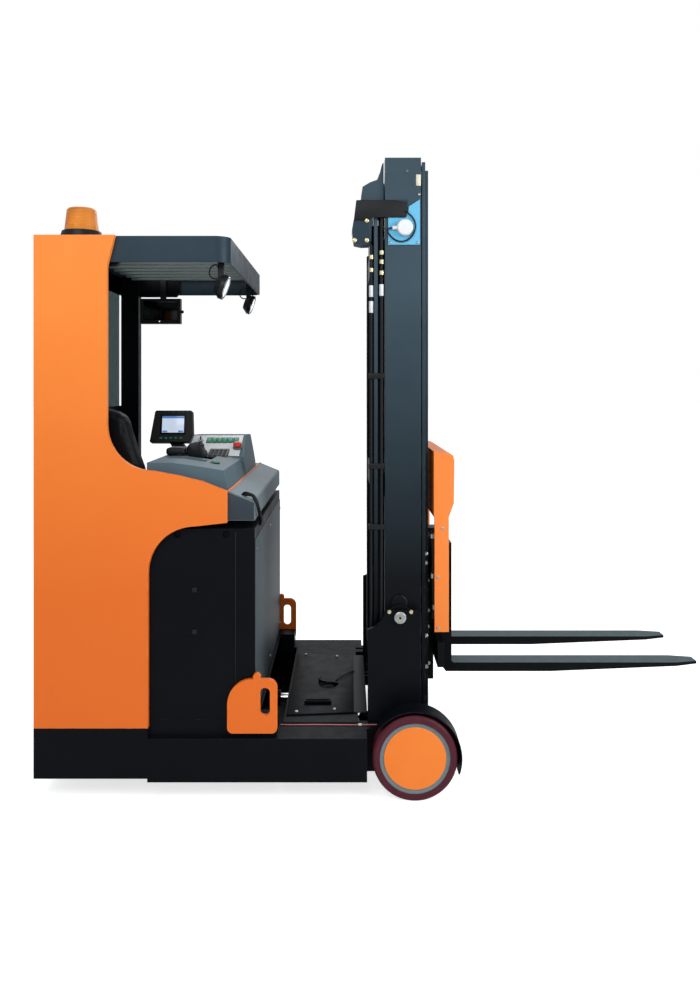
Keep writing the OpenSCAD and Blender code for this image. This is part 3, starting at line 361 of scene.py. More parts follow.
def leaf_chain(name):
    """Oiled chain steel with the bars of its link plates along the strand."""
    material, tree, output = new_material(name)
    place = node(tree, "TexCoord").outputs["Object"]
    links = node(tree, "TexWave", {"Vector": place, "Scale": WAVE_M / (LINK_PITCH_MM * MM)},
                 bands_direction="Z")
    tone = blend_tones(tree, links.outputs["Fac"], "17181A", "4A4B4C")
    bump = node(tree, "Bump", {"Height": links.outputs["Fac"], "Strength": 0.8, "Distance": 0.002})
    shader = node(tree, "BsdfPrincipled", {"Base Color": tone, "Metallic": 0.8, "Roughness": 0.38,
                                           "Normal": bump.outputs["Normal"]})
    tree.links.new(shader.outputs["BSDF"], output.inputs["Surface"])
    return material


def forged_fork(name):
    """Forge black on the sides and worn steel on the faces that carry pallets."""
    material, tree, output = new_material(name)
    place = node(tree, "TexCoord").outputs["Object"]
    upward = node(tree, "SeparateXYZ", {"Vector": node(tree, "NewGeometry").outputs["Normal"]})
    stretch = node(tree, "Mapping", {"Vector": place, "Scale": (6.0, 260.0, 260.0)})
    lines = node(tree, "TexNoise", {"Vector": stretch.outputs["Vector"], "Scale": 1.0, "Detail": 6.0})
    worn = mottled(tree, place, "384446", "6A787A", 30, 8.0)
    scratched = blend_tones(tree, lines.outputs["Fac"], worn, "515E63")
    side = mottled(tree, place, "060709", "0D0F12", 60)
    bare = node(tree, "MapRange", {"Value": upward.outputs["Z"], "From Min": 0.4, "From Max": 0.9})
    tone = blend_tones(tree, bare.outputs["Result"], side, scratched)
    metallic = node(tree, "Math", {0: bare.outputs["Result"], 1: FORK_METALLIC}, operation="MULTIPLY")
    shader = node(tree, "BsdfPrincipled", {"Base Color": tone, "Roughness": 0.5,
                                           "Metallic": metallic.outputs["Value"],
                                           "Specular IOR Level": 0.08})
    tree.links.new(shader.outputs["BSDF"], output.inputs["Surface"])
    return material


hard_chrome = bare_metal("hard_chrome", "C9CDD0", "DADDE0", 0.08, (3, 3, 60), 0.06)
chain_steel = leaf_chain("oiled_chain_steel")
fork_steel = forged_fork("worn_fork_steel")
zinc_steel = bare_metal("zinc_plated_steel", "A9ABA8", "BDBFBB", 0.32, (6, 6, 6))
yellow_zinc = bare_metal("yellow_zinc_steel", "D2C69C", "E2D8B4", 0.42, (6, 6, 6))
print("metals made")

# %% [markdown]
# Glass, lenses and the lit screen
#
# The rear window is laminated glass with a grey tint. The beacon's lens is amber polycarbonate,
# moulded with ribs a few millimetres apart that spread its flash. Both let light through, so they use
# transmission. The screen and the work lamps give off light of their own.

# %% Glass and light
def lens(name, colour, roughness, weight, rib_mm=None):
    """Clear or tinted sheet that light passes through, with level ribs if rib_mm is given."""
    material, tree, output = new_material(name)
    shader = node(tree, "BsdfPrincipled", {"Base Color": srgb(colour), "Roughness": roughness,
                                           "IOR": 1.5, "Transmission Weight": weight})
    if rib_mm:
        place = node(tree, "TexCoord").outputs["Object"]
        ribs = node(tree, "TexWave", {"Vector": place, "Scale": WAVE_M / (rib_mm * MM)},
                    bands_direction="Z")
        bump = node(tree, "Bump", {"Height": ribs.outputs["Fac"], "Strength": 0.6, "Distance": 0.002})
        tree.links.new(bump.outputs["Normal"], shader.inputs["Normal"])
    tree.links.new(shader.outputs["BSDF"], output.inputs["Surface"])
    return material


def glowing(name, dark, light, patch_mm, strength):
    """A lit panel behind a glossy cover: its own light, and reflections on top."""
    material, tree, output = new_material(name)
    place = node(tree, "TexCoord").outputs["Object"]
    tone = mottled(tree, place, dark, light, patch_mm, 1.0)
    shader = node(tree, "BsdfPrincipled", {"Base Color": srgb("101214"), "Roughness": 0.15,
                                           "IOR": 1.5, "Emission Color": tone,
                                           "Emission Strength": strength})
    tree.links.new(shader.outputs["BSDF"], output.inputs["Surface"])
    return material


window_glass = lens("tinted_laminated_glass", "4E5E60", 0.03, 1.0)
amber_lens = lens("amber_polycarbonate", "FF9C2A", 0.28, 0.45, 6)
monitor_glass = lens("smoked_polycarbonate", "050607", 0.12, 0.0)
lamp_glow = glowing("lit_lamp_lens", "E8EEF2", "FFFFFF", 20, 1.1)
screen_pale = glowing("lit_screen", "C4D6F0", "DCE8FA", 30, 0.85)
screen_blue = glowing("lit_screen_band", "4A72C0", "6C92D8", 30, 0.8)
print("glass and lights made")

# %% [markdown]
# Material by piece
#
# The table gives each CAD piece its finish. Pieces are grouped by finish, so a change of paint is one
# line.

# %% Finish of each piece
FINISHES = {
    black_coat: ("chassis", "rear_cover", "cab_frame", "seat_base", "rear_posts", "battery",
                 "reach_barrel", "carriage", "tilt_barrels", "lift_barrels", "free_lift_barrel",
                 "free_lift_head", "fork_carriage", "fenders", "drive_unit"),
    mast_coat_painted_sheen: ("mast_outer", "mast_mid", "mast_inner"),
    guard_coat: ("guard_frame", "mast_valve"),
    bar_coat: ("guard_bars",),
    orange_coat: ("side_panel", "battery_locks"),
    fairing_coat: ("fork_fairing",),
    disc_enamel: ("load_hub_near", "load_hub_far"),
    sky_coat: ("sensor_plate",),
    hood_plastic: ("hood",),
    console_plastic: ("console",),
    black_plastic: ("console_controls", "display", "steering_wheel", "work_lamps", "beacon_base",
                    "monitor"),
    seat_vinyl: ("seat_cushion", "backrest"),
    load_tread: ("load_tyre_near", "load_tyre_far"),
    drive_tread: ("drive_wheel",),
    hard_chrome: ("reach_rod", "tilt_rods", "lift_rods"),
    chain_steel: ("lift_chains", "carriage_chains"),
    fork_steel: ("forks",),
    window_glass: ("rear_window",),
    amber_lens: ("beacon_lens",),
}

for finish, pieces in FINISHES.items():
    for piece in pieces:
        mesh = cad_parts[piece].data
        mesh.materials.clear()
        mesh.materials.append(finish)
print(len(FINISHES), "finishes on", sum(len(p) for p in FINISHES.values()), "pieces")

# %% [markdown]
# Ways to make the small parts
#
# Three kinds of shape make nearly every small part of such a machine. Screws, caps, buttons and pins
# are turned on a lathe: a profile swept round an axis. Plates, latches and covers are cut from sheet or
# moulded, with edges a millimetre or two round. Hoses and cables are tubes along a smooth curve. Each
# maker takes millimetres, and joins all its like parts into one mesh.

# %% Makers
def add_piece(name, data, material, body):
    """Turns a mesh or curve into a piece that moves with a body."""
    data.materials.append(material)
    piece = bpy.data.objects.new(name, data)
    bpy.context.collection.objects.link(piece)
    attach(piece, body)
    return piece


def finished_mesh(name, shape, sharp_degrees=35):
    """Writes a bmesh to a mesh that is smooth but for its sharp edges."""
    bmesh.ops.recalc_face_normals(shape, faces=shape.faces)
    mesh = bpy.data.meshes.new(name)
    shape.to_mesh(mesh)
    shape.free()
    mesh.shade_smooth()
    mesh.set_sharp_from_angle(angle=math.radians(sharp_degrees))
    return mesh


def blocks(corners, bevel=2.0):
    """Round-edged blocks, each from its low and high corner."""
    shape = bmesh.new()
    for low, high in corners:
        verts = bmesh.ops.create_cube(shape, size=1.0)["verts"]
        for vert in verts:
            vert.co = Vector([((low[i] + high[i]) / 2 + vert.co[i] * (high[i] - low[i])) * MM
                              for i in range(3)])
        edges = list({edge for vert in verts for edge in vert.link_edges})
        bmesh.ops.bevel(shape, geom=edges, offset=bevel * MM, segments=3, affect="EDGES", profile=0.5)
    return finished_mesh("blocks", shape)


def cut_sheet(outline, across, low, high, bevel=1.5):
    """A plate from an outline. across is the axis through its thickness, from low to high."""
    first, second = [axis for axis in range(3) if axis != across]
    shape = bmesh.new()
    verts = []
    for point in outline:
        place = Vector((0, 0, 0))
        place[first], place[second], place[across] = point[0] * MM, point[1] * MM, low * MM
        verts.append(shape.verts.new(place))
    face = shape.faces.new(verts)
    grown = bmesh.ops.extrude_face_region(shape, geom=[face])["geom"]
    for vert in grown:
        if isinstance(vert, bmesh.types.BMVert):
            vert.co[across] = high * MM
    bmesh.ops.bevel(shape, geom=list(shape.edges), offset=bevel * MM, segments=2, affect="EDGES",
                    profile=0.5)
    return finished_mesh("sheet", shape)


def turned(profile, places, axis, sides=24):
    """Turned parts. profile lists (radius, height) from the seat outwards along axis."""
    shape = bmesh.new()
    point_out = Vector(axis).to_track_quat("Z", "Y")
    for place in places:
        rings = []
        for radius, height in profile:
            count = sides if radius > 0 else 1
            ring = []
            for k in range(count):
                angle = 2 * math.pi * k / sides
                offset = Vector((radius * math.cos(angle), radius * math.sin(angle), height))
                ring.append(shape.verts.new((Vector(place) + point_out @ offset) * MM))
            rings.append(ring)
        for low, high in zip(rings, rings[1:]):
            for k in range(sides):
                corners = [low[k % len(low)], low[(k + 1) % len(low)],
                           high[(k + 1) % len(high)], high[k % len(high)]]
                unique = list(dict.fromkeys(corners))
                if len(unique) > 2:
                    shape.faces.new(unique)
        for ring in (rings[0], rings[-1]):
            if len(ring) > 1:
                shape.faces.new(ring)
    return finished_mesh("turned", shape)


def tubes(paths, radius):
    """Hoses and cables: smooth tubes that follow points."""
    curve = bpy.data.curves.new("tubes", "CURVE")
    curve.dimensions = "3D"
    curve.bevel_depth = radius * MM
    curve.bevel_resolution = 3
    curve.resolution_u = 6
    curve.use_fill_caps = True
    for path in paths:
        spline = curve.splines.new("NURBS")
        spline.points.add(len(path) - 1)
        for point, place in zip(spline.points, path):
            point.co = (*(Vector(place) * MM), 1)
        spline.order_u = min(4, len(path))
        spline.use_endpoint_u = True
    return curve


NEAR, FAR, UP, FRONT, REAR = (0, -1, 0), (0, 1, 0), (0, 0, 1), (1, 0, 0), (-1, 0, 0)
# Heads that several fasteners share, as (radius, height).
SCREW_HEAD = [(7, 0), (7, 3), (4, 5), (0, 5)]
BOLT_HEAD = [(9, 0), (9, 5), (6, 7), (0, 7)]
print("makers ready")

# %% [markdown]
# Seat cushion and backrest
#
# Foam under tight vinyl bulges in the middle and pulls in at the sewn edges. Cloth simulation gives
# that form: a rounded block a little smaller than the pad is remeshed fine, and air pressure inside
# blows it up for twenty frames. A cap on how far a point may move keeps the pad inside its place. The
# sewn channels come afterwards, as grooves pressed between the panels of the cover.

# %% Padded pieces
VOXEL_MM = 6
CORNER_MM = 24
START_SHARE = 0.35  # of the cap: how far inside its place the block starts
AIR_PRESSURE = 4
VINYL_STIFFNESS = 12
SETTLE_FRAMES = 20
GROOVE_DEPTH_MM, GROOVE_WIDTH_MM = 6, 7


def groove(distance):
    """1 in the middle of a groove, falling to 0 about a width away."""
    return math.exp(-(distance / GROOVE_WIDTH_MM) ** 2)


def padded_block(name, node_name, outline, across, cap_mm, channels, thin_axis):
    """A pad blown up from an outline; channels are (axis, place, half length) grooves in mm."""
    low, high = (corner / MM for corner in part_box(node_name))
    side = cap_mm * START_SHARE
    pad = add_piece(name, cut_sheet(outline, across, low[across] + side, high[across] - side,
                                    CORNER_MM), seat_vinyl, "chassis")
    bpy.context.view_layer.objects.active = pad
    remesh = pad.modifiers.new("remesh", "REMESH")
    remesh.mode = "VOXEL"
    remesh.voxel_size = VOXEL_MM * MM
    bpy.ops.object.modifier_apply(modifier="remesh")
    rest = [vert.co.copy() for vert in pad.data.vertices]
    cloth = pad.modifiers.new("cloth", "CLOTH")
    cloth.settings.use_pressure = True
    cloth.settings.uniform_pressure_force = AIR_PRESSURE
    cloth.settings.quality = 4
    cloth.settings.tension_stiffness = VINYL_STIFFNESS
    cloth.settings.compression_stiffness = VINYL_STIFFNESS
    cloth.settings.effector_weights.gravity = 0
    cloth.point_cache.frame_end = SETTLE_FRAMES
    for frame_number in range(1, SETTLE_FRAMES + 1):
        bpy.context.scene.frame_set(frame_number)
    bpy.ops.object.modifier_apply(modifier="cloth")
    bpy.context.scene.frame_set(1)
    middle = (low + high) / 2
    for vert, start in zip(pad.data.vertices, rest):
        move = vert.co - start
        if move.length > cap_mm * MM:
            vert.co = start + move.normalized() * cap_mm * MM
        for axis, place, half in channels:
            along = [i for i in range(3) if i not in (axis, thin_axis)][0]
            fade = max(0.0, 1 - (abs(vert.co[along] / MM - middle[along]) / half) ** 6)
            depth = GROOVE_DEPTH_MM * fade * groove(vert.co[axis] / MM - place)
            inward = -1 if vert.co[thin_axis] / MM > middle[thin_axis] else 1
            vert.co[thin_axis] += inward * depth * MM
        for i in range(3):
            vert.co[i] = min(max(vert.co[i], low[i] * MM), high[i] * MM)
    finer = pad.modifiers.new("finer", "SUBSURF")
    finer.levels = 1
    bpy.ops.object.modifier_apply(modifier="finer")
    pad.data.shade_smooth()
    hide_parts(node_name)
    return pad


cushion = padded_block("seat_cushion_pad", "seat_cushion",
                       [(-1330, -496), (-970, -496), (-970, -84), (-1330, -84)], 2, 14,
                       [(0, -1245, 215), (0, -1055, 215), (1, -290, 185)], 2)
print("cushion", len(cushion.data.vertices), "points")

# %% Backrest
backrest = padded_block("backrest_pad", "backrest",
                        [(-1330, 1076), (-970, 1076), (-966, 1268), (-1046, 1500), (-1110, 1524),
                         (-1190, 1524), (-1254, 1500), (-1334, 1268)], 1, 12,
                        [(0, -1240, 190), (0, -1060, 190), (2, 1290, 150)], 1)
print("backrest", len(backrest.data.vertices), "points")

# %% [markdown]
# Hood and console
#
# The hood over the battery has a darker sheet on its near side, which is painted shade. An orange
# trim strip runs where it meets the console, and a bent steel clip holds the charging lead, which hangs
# down over the front edge. Below, a grey sheet on the black battery's front is painted light.

# %% Hood trim
# Painted shade: a darker sheet over the hood's near side, which is only in shade.
add_piece("hood_side_shade_sheet", cut_sheet([(-925, 1088), (-519, 1088), (-519, 1155), (-616, 1193),
                                     (-925, 1193)], 1, -613, -609.5, 1.2),
          hood_side_shade_plastic, "chassis")
add_piece("console_trim_strip", blocks([((-622, -607, 1197), (-615, 607, 1203))], 1.0),
          orange_coat, "chassis")
add_piece("lead_clip", tubes([[(-570, -572, 1172), (-568, -572, 1192), (-545, -572, 1188),
                               (-524, -572, 1178), (-520, -572, 1158)]], 5),
          black_coat, "chassis")
add_piece("battery_lead", tubes([[(-560, -570, 1180), (-535, -580, 1188), (-514, -594, 1172),
                                  (-504, -604, 1140), (-503, -556, 1106), (-504, -488, 1080),
                                  (-508, -430, 1046), (-522, -412, 1034)]], 7),
          rubber, "chassis")
# Painted light: a grey sheet over the black battery's front face, where that face catches the light.
add_piece("battery_front_lit_sheet", blocks([((-517, -600, 318), (-512, 600, 1006))], 2.0),
          battery_front_light_plastic, "chassis")
add_piece("battery_front_screws", turned(SCREW_HEAD,
                                         [(-512, y, z) for y in (-560, 0, 560) for z in (360, 965)],
                                         FRONT), zinc_steel, "chassis")
print("hood trimmed")

# %% [markdown]
# The switch panel
#
# The console's far ridge slopes towards the driver and carries a white plate with a key switch, six
# green rocker switches and a red emergency button. They are built flat, at their places on the plate,
# and one matrix then tips them onto the slope.

# %% Switches on the slope
SLOPE_FOOT = Vector((0, -42, 1286)) * MM
SLOPE_RISE, SLOPE_RUN = 90, 188
SLOPE_ANGLE = math.atan2(SLOPE_RISE, SLOPE_RUN)
on_slope = Matrix.Translation(SLOPE_FOOT) @ Matrix.Rotation(SLOPE_ANGLE, 4, "X")
PLATE_X = (-888, -650)
ROCKERS_X = [-818 + 25.5 * i for i in range(6)]
SLOPE_PARTS = [
    # name, mesh, material
    ("switch_plate", blocks([((PLATE_X[0], 6, 0), (PLATE_X[1], 200, 2))], 0.8), white_plastic),
    ("rocker_switches", blocks([((x, 128, 1), (x + 20, 172, 8)) for x in ROCKERS_X], 2.2),
     green_plastic),
    ("rocker_frames", blocks([((x - 2, 125, 1), (x + 22, 175, 4)) for x in ROCKERS_X], 1.0),
     black_plastic),
    ("stop_button_collar", turned([(22, 1), (22, 8), (19, 10), (12, 10)], [(-665, 78, 0)], UP),
     bar_coat),
    ("stop_button", turned([(10, 8), (10, 16), (19, 17), (20, 22), (17, 28), (9, 31), (0, 31)],
                           [(-665, 78, 0)], UP), red_plastic),
    ("key_barrel", turned([(13, 1), (13, 7), (10, 9), (10, 10)], [(-848, 150, 0)], UP), zinc_steel),
    ("key_grip", blocks([((-850.5, 140, 8), (-845.5, 160, 20))], 1.5), black_plastic),
]
for name, mesh, material in SLOPE_PARTS:
    mesh.transform(on_slope)
    add_piece(name, mesh, material, "chassis")
print(len(SLOPE_PARTS), "kinds of part at", round(math.degrees(SLOPE_ANGLE), 1), "degrees")

# %% Hand rest, grip and keypad
add_piece("hand_rest_pad", blocks([((-938, -264, 1310), (-856, -150, 1343))], 12.0), rubber, "chassis")
add_piece("joystick_grip", cut_sheet([(-850, 1292), (-850, 1348), (-838, 1360), (-800, 1369),
                                      (-790, 1364), (-774, 1310), (-778, 1292)], 1, -252, -178, 9.0),
          black_plastic, "chassis")
keypad = blocks([((-790, -100, -16), (-700, 30, 0))], 3.0)
keys = blocks([((-782 + 20 * i, -88 + 26 * j, 0), (-767 + 20 * i, -70 + 26 * j, 3))
               for i in range(4) for j in range(4)], 1.2)
KEYPAD_AT = Vector((0, -10, 1313)) * MM
KEYPAD_DEGREES = 12.8
tipped = Matrix.Translation(KEYPAD_AT) @ Matrix.Rotation(math.radians(KEYPAD_DEGREES), 4, "X")
for mesh in (keypad, keys):
    mesh.transform(tipped)
add_piece("keypad", keypad, black_plastic, "chassis")
add_piece("keypad_keys", keys, rubber, "chassis")
add_piece("horn_button_base", turned([(24, -2), (24, 2), (20, 3), (0, 3)], [(-709, -392, 1290)], UP),
          black_plastic, "chassis")
add_piece("horn_button", turned([(11, 2), (11, 7), (8, 9), (0, 9)], [(-709, -392, 1290)], UP),
          green_plastic, "chassis")
print("controls dressed")

# %% [markdown]
# The display
#
# The terminal on its arm shows a pale screen with a blue band, behind glass, above five green keys. Its
# face leans back ten degrees, so the parts are built on an upright face and then tipped.

# %% Screen and keys
DISPLAY_AT = Vector((-1003, 200, 1410)) * MM
LEAN_DEGREES = -10
on_display = Matrix.Translation(DISPLAY_AT) @ Matrix.Rotation(math.radians(LEAN_DEGREES), 4, "X")
DISPLAY_PARTS = [
    ("screen_bezel", blocks([((-56, -21.5, -38), (68, -20, 60))], 0.7), rubber),
    ("screen", blocks([((-47, -22.5, -29), (59, -21, 51))], 0.5), screen_pale),
    ("screen_band", blocks([((-47, -23, 40), (59, -22, 51)), ((-45, -23, -28), (-20, -22, -19)),
                            ((32, -23, -28), (57, -22, -19))], 0.4), screen_blue),
    ("screen_keys", blocks([((x, -30, -60), (x + 13, -26, -53)) for x in (-57, -33, -9, 15, 39)], 1.5),
     green_plastic),
]
for name, mesh, material in DISPLAY_PARTS:
    mesh.transform(on_display)
    add_piece(name, mesh, material, "chassis")
print("display lit")

# %% [markdown]
# Lamps and monitor
#
# Two round work lamps hang under the guard's front corners and shine forward and down. Their lenses
# bulge a little and are lit. The monitor under the roof is switched off: a dark sheet of glass with one
# small pilot light and a knob on its side.

# %% Under the guard
LAMP_ANGLE = math.radians(110)  # from straight up, so the lamps look forward and a little down
LAMP_OUT = Vector((math.sin(LAMP_ANGLE), 0, math.cos(LAMP_ANGLE)))
LAMPS = [Vector((-658, -540, 2008)), Vector((-672, 530, 2040))]
LENS_SEAT = 12
add_piece("lamp_lenses", turned([(41, 0), (41, 4), (36, 8), (24, 11), (0, 13)],
                                [lamp + LAMP_OUT * LENS_SEAT for lamp in LAMPS], LAMP_OUT, 32),
          lamp_glow, "chassis")
add_piece("lamp_rings", turned([(46, 0), (48, 4), (45, 12), (41, 12), (40, 4)],
                               [lamp + LAMP_OUT * LENS_SEAT for lamp in LAMPS], LAMP_OUT, 32),
          hard_chrome, "chassis")
add_piece("lamp_leads", tubes([[lamp + Vector((-10, 4, 30)), lamp + Vector((-38, 4, 26)),
                                lamp + Vector((-52, 4, 50)), lamp + Vector((-40, 4, 84)),
                                lamp + Vector((-14, 4, 92)), lamp + Vector((-6, 4, 60))]
                               for lamp in LAMPS], 3), rubber, "chassis")
add_piece("monitor_screen", blocks([((-1214, 481, 1954), (-1037, 484, 2050))], 0.8), monitor_glass,
          "chassis")
add_piece("monitor_pilot_light", turned([(3, 0), (3, 1.5), (0, 2.5)], [(-1129, 480, 1946)], NEAR),
          lamp_glow, "chassis")
add_piece("monitor_knob", turned([(8, 0), (8, 10), (6, 13), (0, 13)], [(-1021, 502, 1997)], FRONT),
          black_plastic, "chassis")
print(len(LAMPS), "lamps")

# %% [markdown]
# Hoses and fittings on the mast
#
# Hydraulic hoses and the sensor's cable run down beside the lift cylinder, tied with pale sleeves and
# brass-coloured unions. A flat slate strip on the cylinder's near side is a painted highlight along
# its barrel.

# %% Mast services
FRONT_HOSE, REAR_HOSE = (-14, -432), (-56, -426)
HOSE_FOOT, HOSE_HEAD = 260, 2330
# Painted highlight: a slate strip along the lift barrel's near side, where the barrel catches the
# light.
add_piece("barrel_highlight_strip", blocks([((-45, -436, 240), (-30, -424, 2320))], 1.5), mast_coat_painted_sheen,
          "mast_outer")
add_piece("mast_hoses", tubes([[(*FRONT_HOSE, z) for z in (HOSE_HEAD, 1900, 1200, HOSE_FOOT)],
                               [(*REAR_HOSE, z) for z in (2186, 1800, 1000, HOSE_FOOT)]], 7),
          rubber, "mast_outer")
add_piece("hose_sleeves", turned([(8.6, -24), (9.4, -22), (9.4, 22), (8.6, 24)],
                                 [(*FRONT_HOSE, 2004), (*REAR_HOSE, 2000), (*REAR_HOSE, 1935)], UP),
          white_plastic, "mast_outer")
add_piece("hose_unions", turned([(8, -9), (10, -8), (10, 8), (8, 9)],
                                [(*FRONT_HOSE, z) for z in (2158, 2120, 2075)]
                                + [(*REAR_HOSE, z) for z in (2140, 2087)], UP, 12),
          yellow_zinc, "mast_outer")
add_piece("hose_clamps", blocks([((-68, -440, z), (-2, -426, z + 22))
                                 for z in (560, 1020, 1270, 1640)], 2.0), black_plastic, "mast_outer")
print("hoses from", HOSE_FOOT, "to", HOSE_HEAD, "mm")

# %% Sensor and valve
CAP = Vector((81, -445, 2258))
add_piece("sensor_cap", turned([(33, 0), (33, 15), (29, 19), (0, 20)], [CAP], NEAR, 40),
          white_plastic, "mast_outer")
add_piece("sensor_plug", turned([(8, 0), (8, 18), (6, 20), (0, 20)], [(49, -452, 2257)], REAR),
          white_plastic, "mast_outer")
add_piece("sensor_lead", tubes([[(34, -452, 2257), (14, -454, 2257), (6, -452, 2246), (18, -449, 2228),
                                 (40, -449, 2206), (68, -449, 2199), (98, -449, 2208),
                                 (120, -449, 2236), (127, -449, 2268), (117, -449, 2298),
                                 (98, -450, 2316), (84, -450, 2326)]], 3.2), rubber, "mast_outer")
add_piece("plate_screws", turned([(5, 0), (5, 2.5), (3, 4), (0, 4)],
                                 [(22, -445, 2198), (134, -445, 2198), (139, -441, 2396)], NEAR, 16),
          zinc_steel, "mast_outer")
add_piece("valve_screws", turned(BOLT_HEAD,
                                 [(-75, -443, 2288), (-75, -443, 2207), (-125, -443, 2207)], NEAR, 12),
          yellow_zinc, "mast_outer")
add_piece("blank_label", blocks([((127, -442, 2431), (147, -440.6, 2478))], 0.6), cream_plastic,
          "mast_outer")
add_piece("valve_bracket_pad", cut_sheet([(-128, 2290), (-60, 2290), (-52, 2300), (84, 2300),
                                          (90, 2310), (90, 2362), (40, 2371), (-118, 2371)],
                                         1, -449.5, -446.5, 1.0), rubber, "mast_outer")
add_piece("rail_plug", turned([(6, 0), (5, 2), (0, 3)], [(91, -441, 2492)], NEAR, 16), bar_coat,
          "mast_outer")
print("sensor wired")

# %% [markdown]
# Pivot, carriages and posts
#
# The mast tilts on two big pins in the reach carriage. Each pin's head shows its centre hole, between
# two plated bolts that hold the keeper. Small screws hold the fairing's posts, and bigger ones the fork
# carriage's roller blocks. Two short hoses with plated unions feed the side shift.

# %% Bolts and pins
add_piece("pivot_bosses", turned([(32, 0), (32, 8), (28, 11), (0, 11)],
                                 [(59, -441, 722)], NEAR, 32), mast_coat_painted_sheen,
          "mast_outer")
for side, out, name in ((-1, NEAR, "near"), (1, FAR, "far")):
    add_piece("pivot_pin_" + name, turned([(24, 0), (24, 2), (21, 4), (5, 4), (4, 2), (0, 2)],
                                          [(59, side * 497, 674)], out, 32), zinc_steel,
              "reach_carriage")
    add_piece("grease_caps_" + name, turned([(4.5, 0), (4.5, 2.5), (2, 4), (0, 4)],
                                            [(59, side * 499, 674)], out, 12), rubber,
              "reach_carriage")
    add_piece("keeper_bolts_" + name, turned([(9, 0), (9, 4), (7, 7), (0, 7)],
                                             [(15, side * 490, 697), (103, side * 490, 697)], out, 12),
              yellow_zinc, "reach_carriage")
    add_piece("post_screws_" + name, turned([(6, 0), (6, 2), (4, 3), (0, 3)],
                                            [(221, side * 408, 819), (221, side * 408, 608),
                                             (240, side * 408, 1020)], out, 16), zinc_steel,
              "fork_carriage")
    add_piece("roller_bolts_" + name, turned(BOLT_HEAD,
                                             [(200, side * 212, 630), (200, side * 212, 560),
                                              (200, side * 212, 760), (200, side * 212, 400)], out, 6),
              zinc_steel, "fork_carriage")
    add_piece("rail_bolts_" + name, turned(BOLT_HEAD,
                                           [(178, side * 349, 904), (178, side * 349, 866),
                                            (178, side * 349, 560), (178, side * 349, 430)], out, 6),
              zinc_steel, "mast_inner")
add_piece("side_shift_hoses", tubes([[(196, -384, 1010), (206, -388, 900), (196, -390, 800),
                                      (208, -388, 700), (200, -384, 640)],
                                     [(208, -374, 1010), (214, -378, 860), (206, -380, 740),
                                      (212, -376, 600)]], 6), rubber, "fork_carriage")
add_piece("side_shift_unions", turned([(7, -10), (9, -9), (9, 9), (7, 10)],
                                      [(197, -385, 985), (199, -389, 820), (206, -389, 690),
                                       (209, -376, 985), (209, -377, 660)], UP, 12),
          zinc_steel, "fork_carriage")
print("bolts on both sides")

# %% [markdown]
# The floor plate of the reach carriage
#
# A thin cover plate is screwed over the carriage's floor, with a lifting latch of bent rod in its
# middle and a loose wire beside it. A thin lead runs along the inner edge of the near leg under a clip.

# %% Floor plate
add_piece("floor_cover", cut_sheet([(-407, -424), (-128, -398), (-124, 346), (-404, 372)], 2, 250, 256,
                                   1.5), black_coat, "reach_carriage")
add_piece("floor_flap", cut_sheet([(-129, -396), (-72, -396), (-72, 344), (-125, 344)], 2, 251, 255,
                                  1.2), rubber, "reach_carriage")
# Painted shade: a black sheet low under the battery bay hides the floor there, standing in for the
# shade under the truck.
add_piece("underside_shade_sheet", cut_sheet([(-935, -540), (-440, -540), (-440, 540), (-935, 540)], 2, 71, 75,
                                   1.2), black_coat, "chassis")
add_piece("floor_screws", turned(SCREW_HEAD,
                                 [(-362, 350, 256), (-205, 322, 256), (-366, -393, 256),
                                  (-208, -367, 256)], UP, 16), cream_plastic, "reach_carriage")
add_piece("floor_latch", tubes([[(-279, 22, 254), (-284, -20, 264), (-277, -76, 270), (-246, -96, 272),
                                 (-210, -92, 268), (-200, -68, 256)]], 6), black_coat,
          "reach_carriage")
add_piece("latch_spring", tubes([[(-270, -66, 258), (-250, -80, 262), (-222, -84, 262),
                                  (-206, -66, 258)]], 4), zinc_steel, "reach_carriage")
add_piece("latch_wire", tubes([[(-206, -30, 258), (-193, -6, 262), (-160, 50, 264), (-122, 100, 258)]],
                              2.5), rubber, "reach_carriage")
add_piece("leg_lead", tubes([[(-425, -504, 246.5), (-360, -507, 246.5), (-300, -503, 246.5),
                              (-200, -506, 246.5), (-104, -507, 246.5), (-36, -504, 246.5)]], 2.6),
          pink_plastic, "chassis")
add_piece("leg_lead_clip", blocks([((-111, -513, 244), (-97, -501, 251))], 1.5), cream_plastic,
          "chassis")
print("floor fitted")

# %% [markdown]
# Battery sides and rear cover
#
# Two small latches and an upright seam break each side of the battery case. The rear cover, which the
# photograph does not show, gets pressed louvres that cool the drive motor, and screws at its corners.

# %% Battery latches
for side, out, name in ((-1, NEAR, "near"), (1, FAR, "far")):
    low, high = sorted((side * 608.5, side * 612))
    seam_high = min(high, 610)
    add_piece("battery_latches_" + name, blocks([((-762, low, z - 9), (-742, high, z + 9))
                                                 for z in (650, 814)], 1.5), black_plastic, "chassis")
    add_piece("battery_seam_" + name, blocks([((-593, low, 330), (-589, seam_high, 1040))], 0.8),
              rubber, "chassis")
print("battery dressed")

# %% Rear cover
rear_low, rear_high = (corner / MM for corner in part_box("rear_cover"))
REAR_X = rear_low[0]
LOUVRES_Z = [rear_low[2] + 90 + 34 * i for i in range(9)]
add_piece("rear_louvres", blocks([((REAR_X - 3, y - 170, z), (REAR_X + 2, y + 170, z + 14))
                                  for y in (-260, 260) for z in LOUVRES_Z], 1.8), black_coat,
          "chassis")
add_piece("rear_cover_screws", turned([(8, 0), (8, 1.5), (5, 2.5), (0, 2.5)],
                                      [(REAR_X, y, z) for y in (-540, 540)
                                       for z in (rear_low[2] + 60, rear_low[2] + 420)], REAR, 16),
          zinc_steel, "chassis")
print("rear cover from", [round(v) for v in rear_low], "to", [round(v) for v in rear_high])

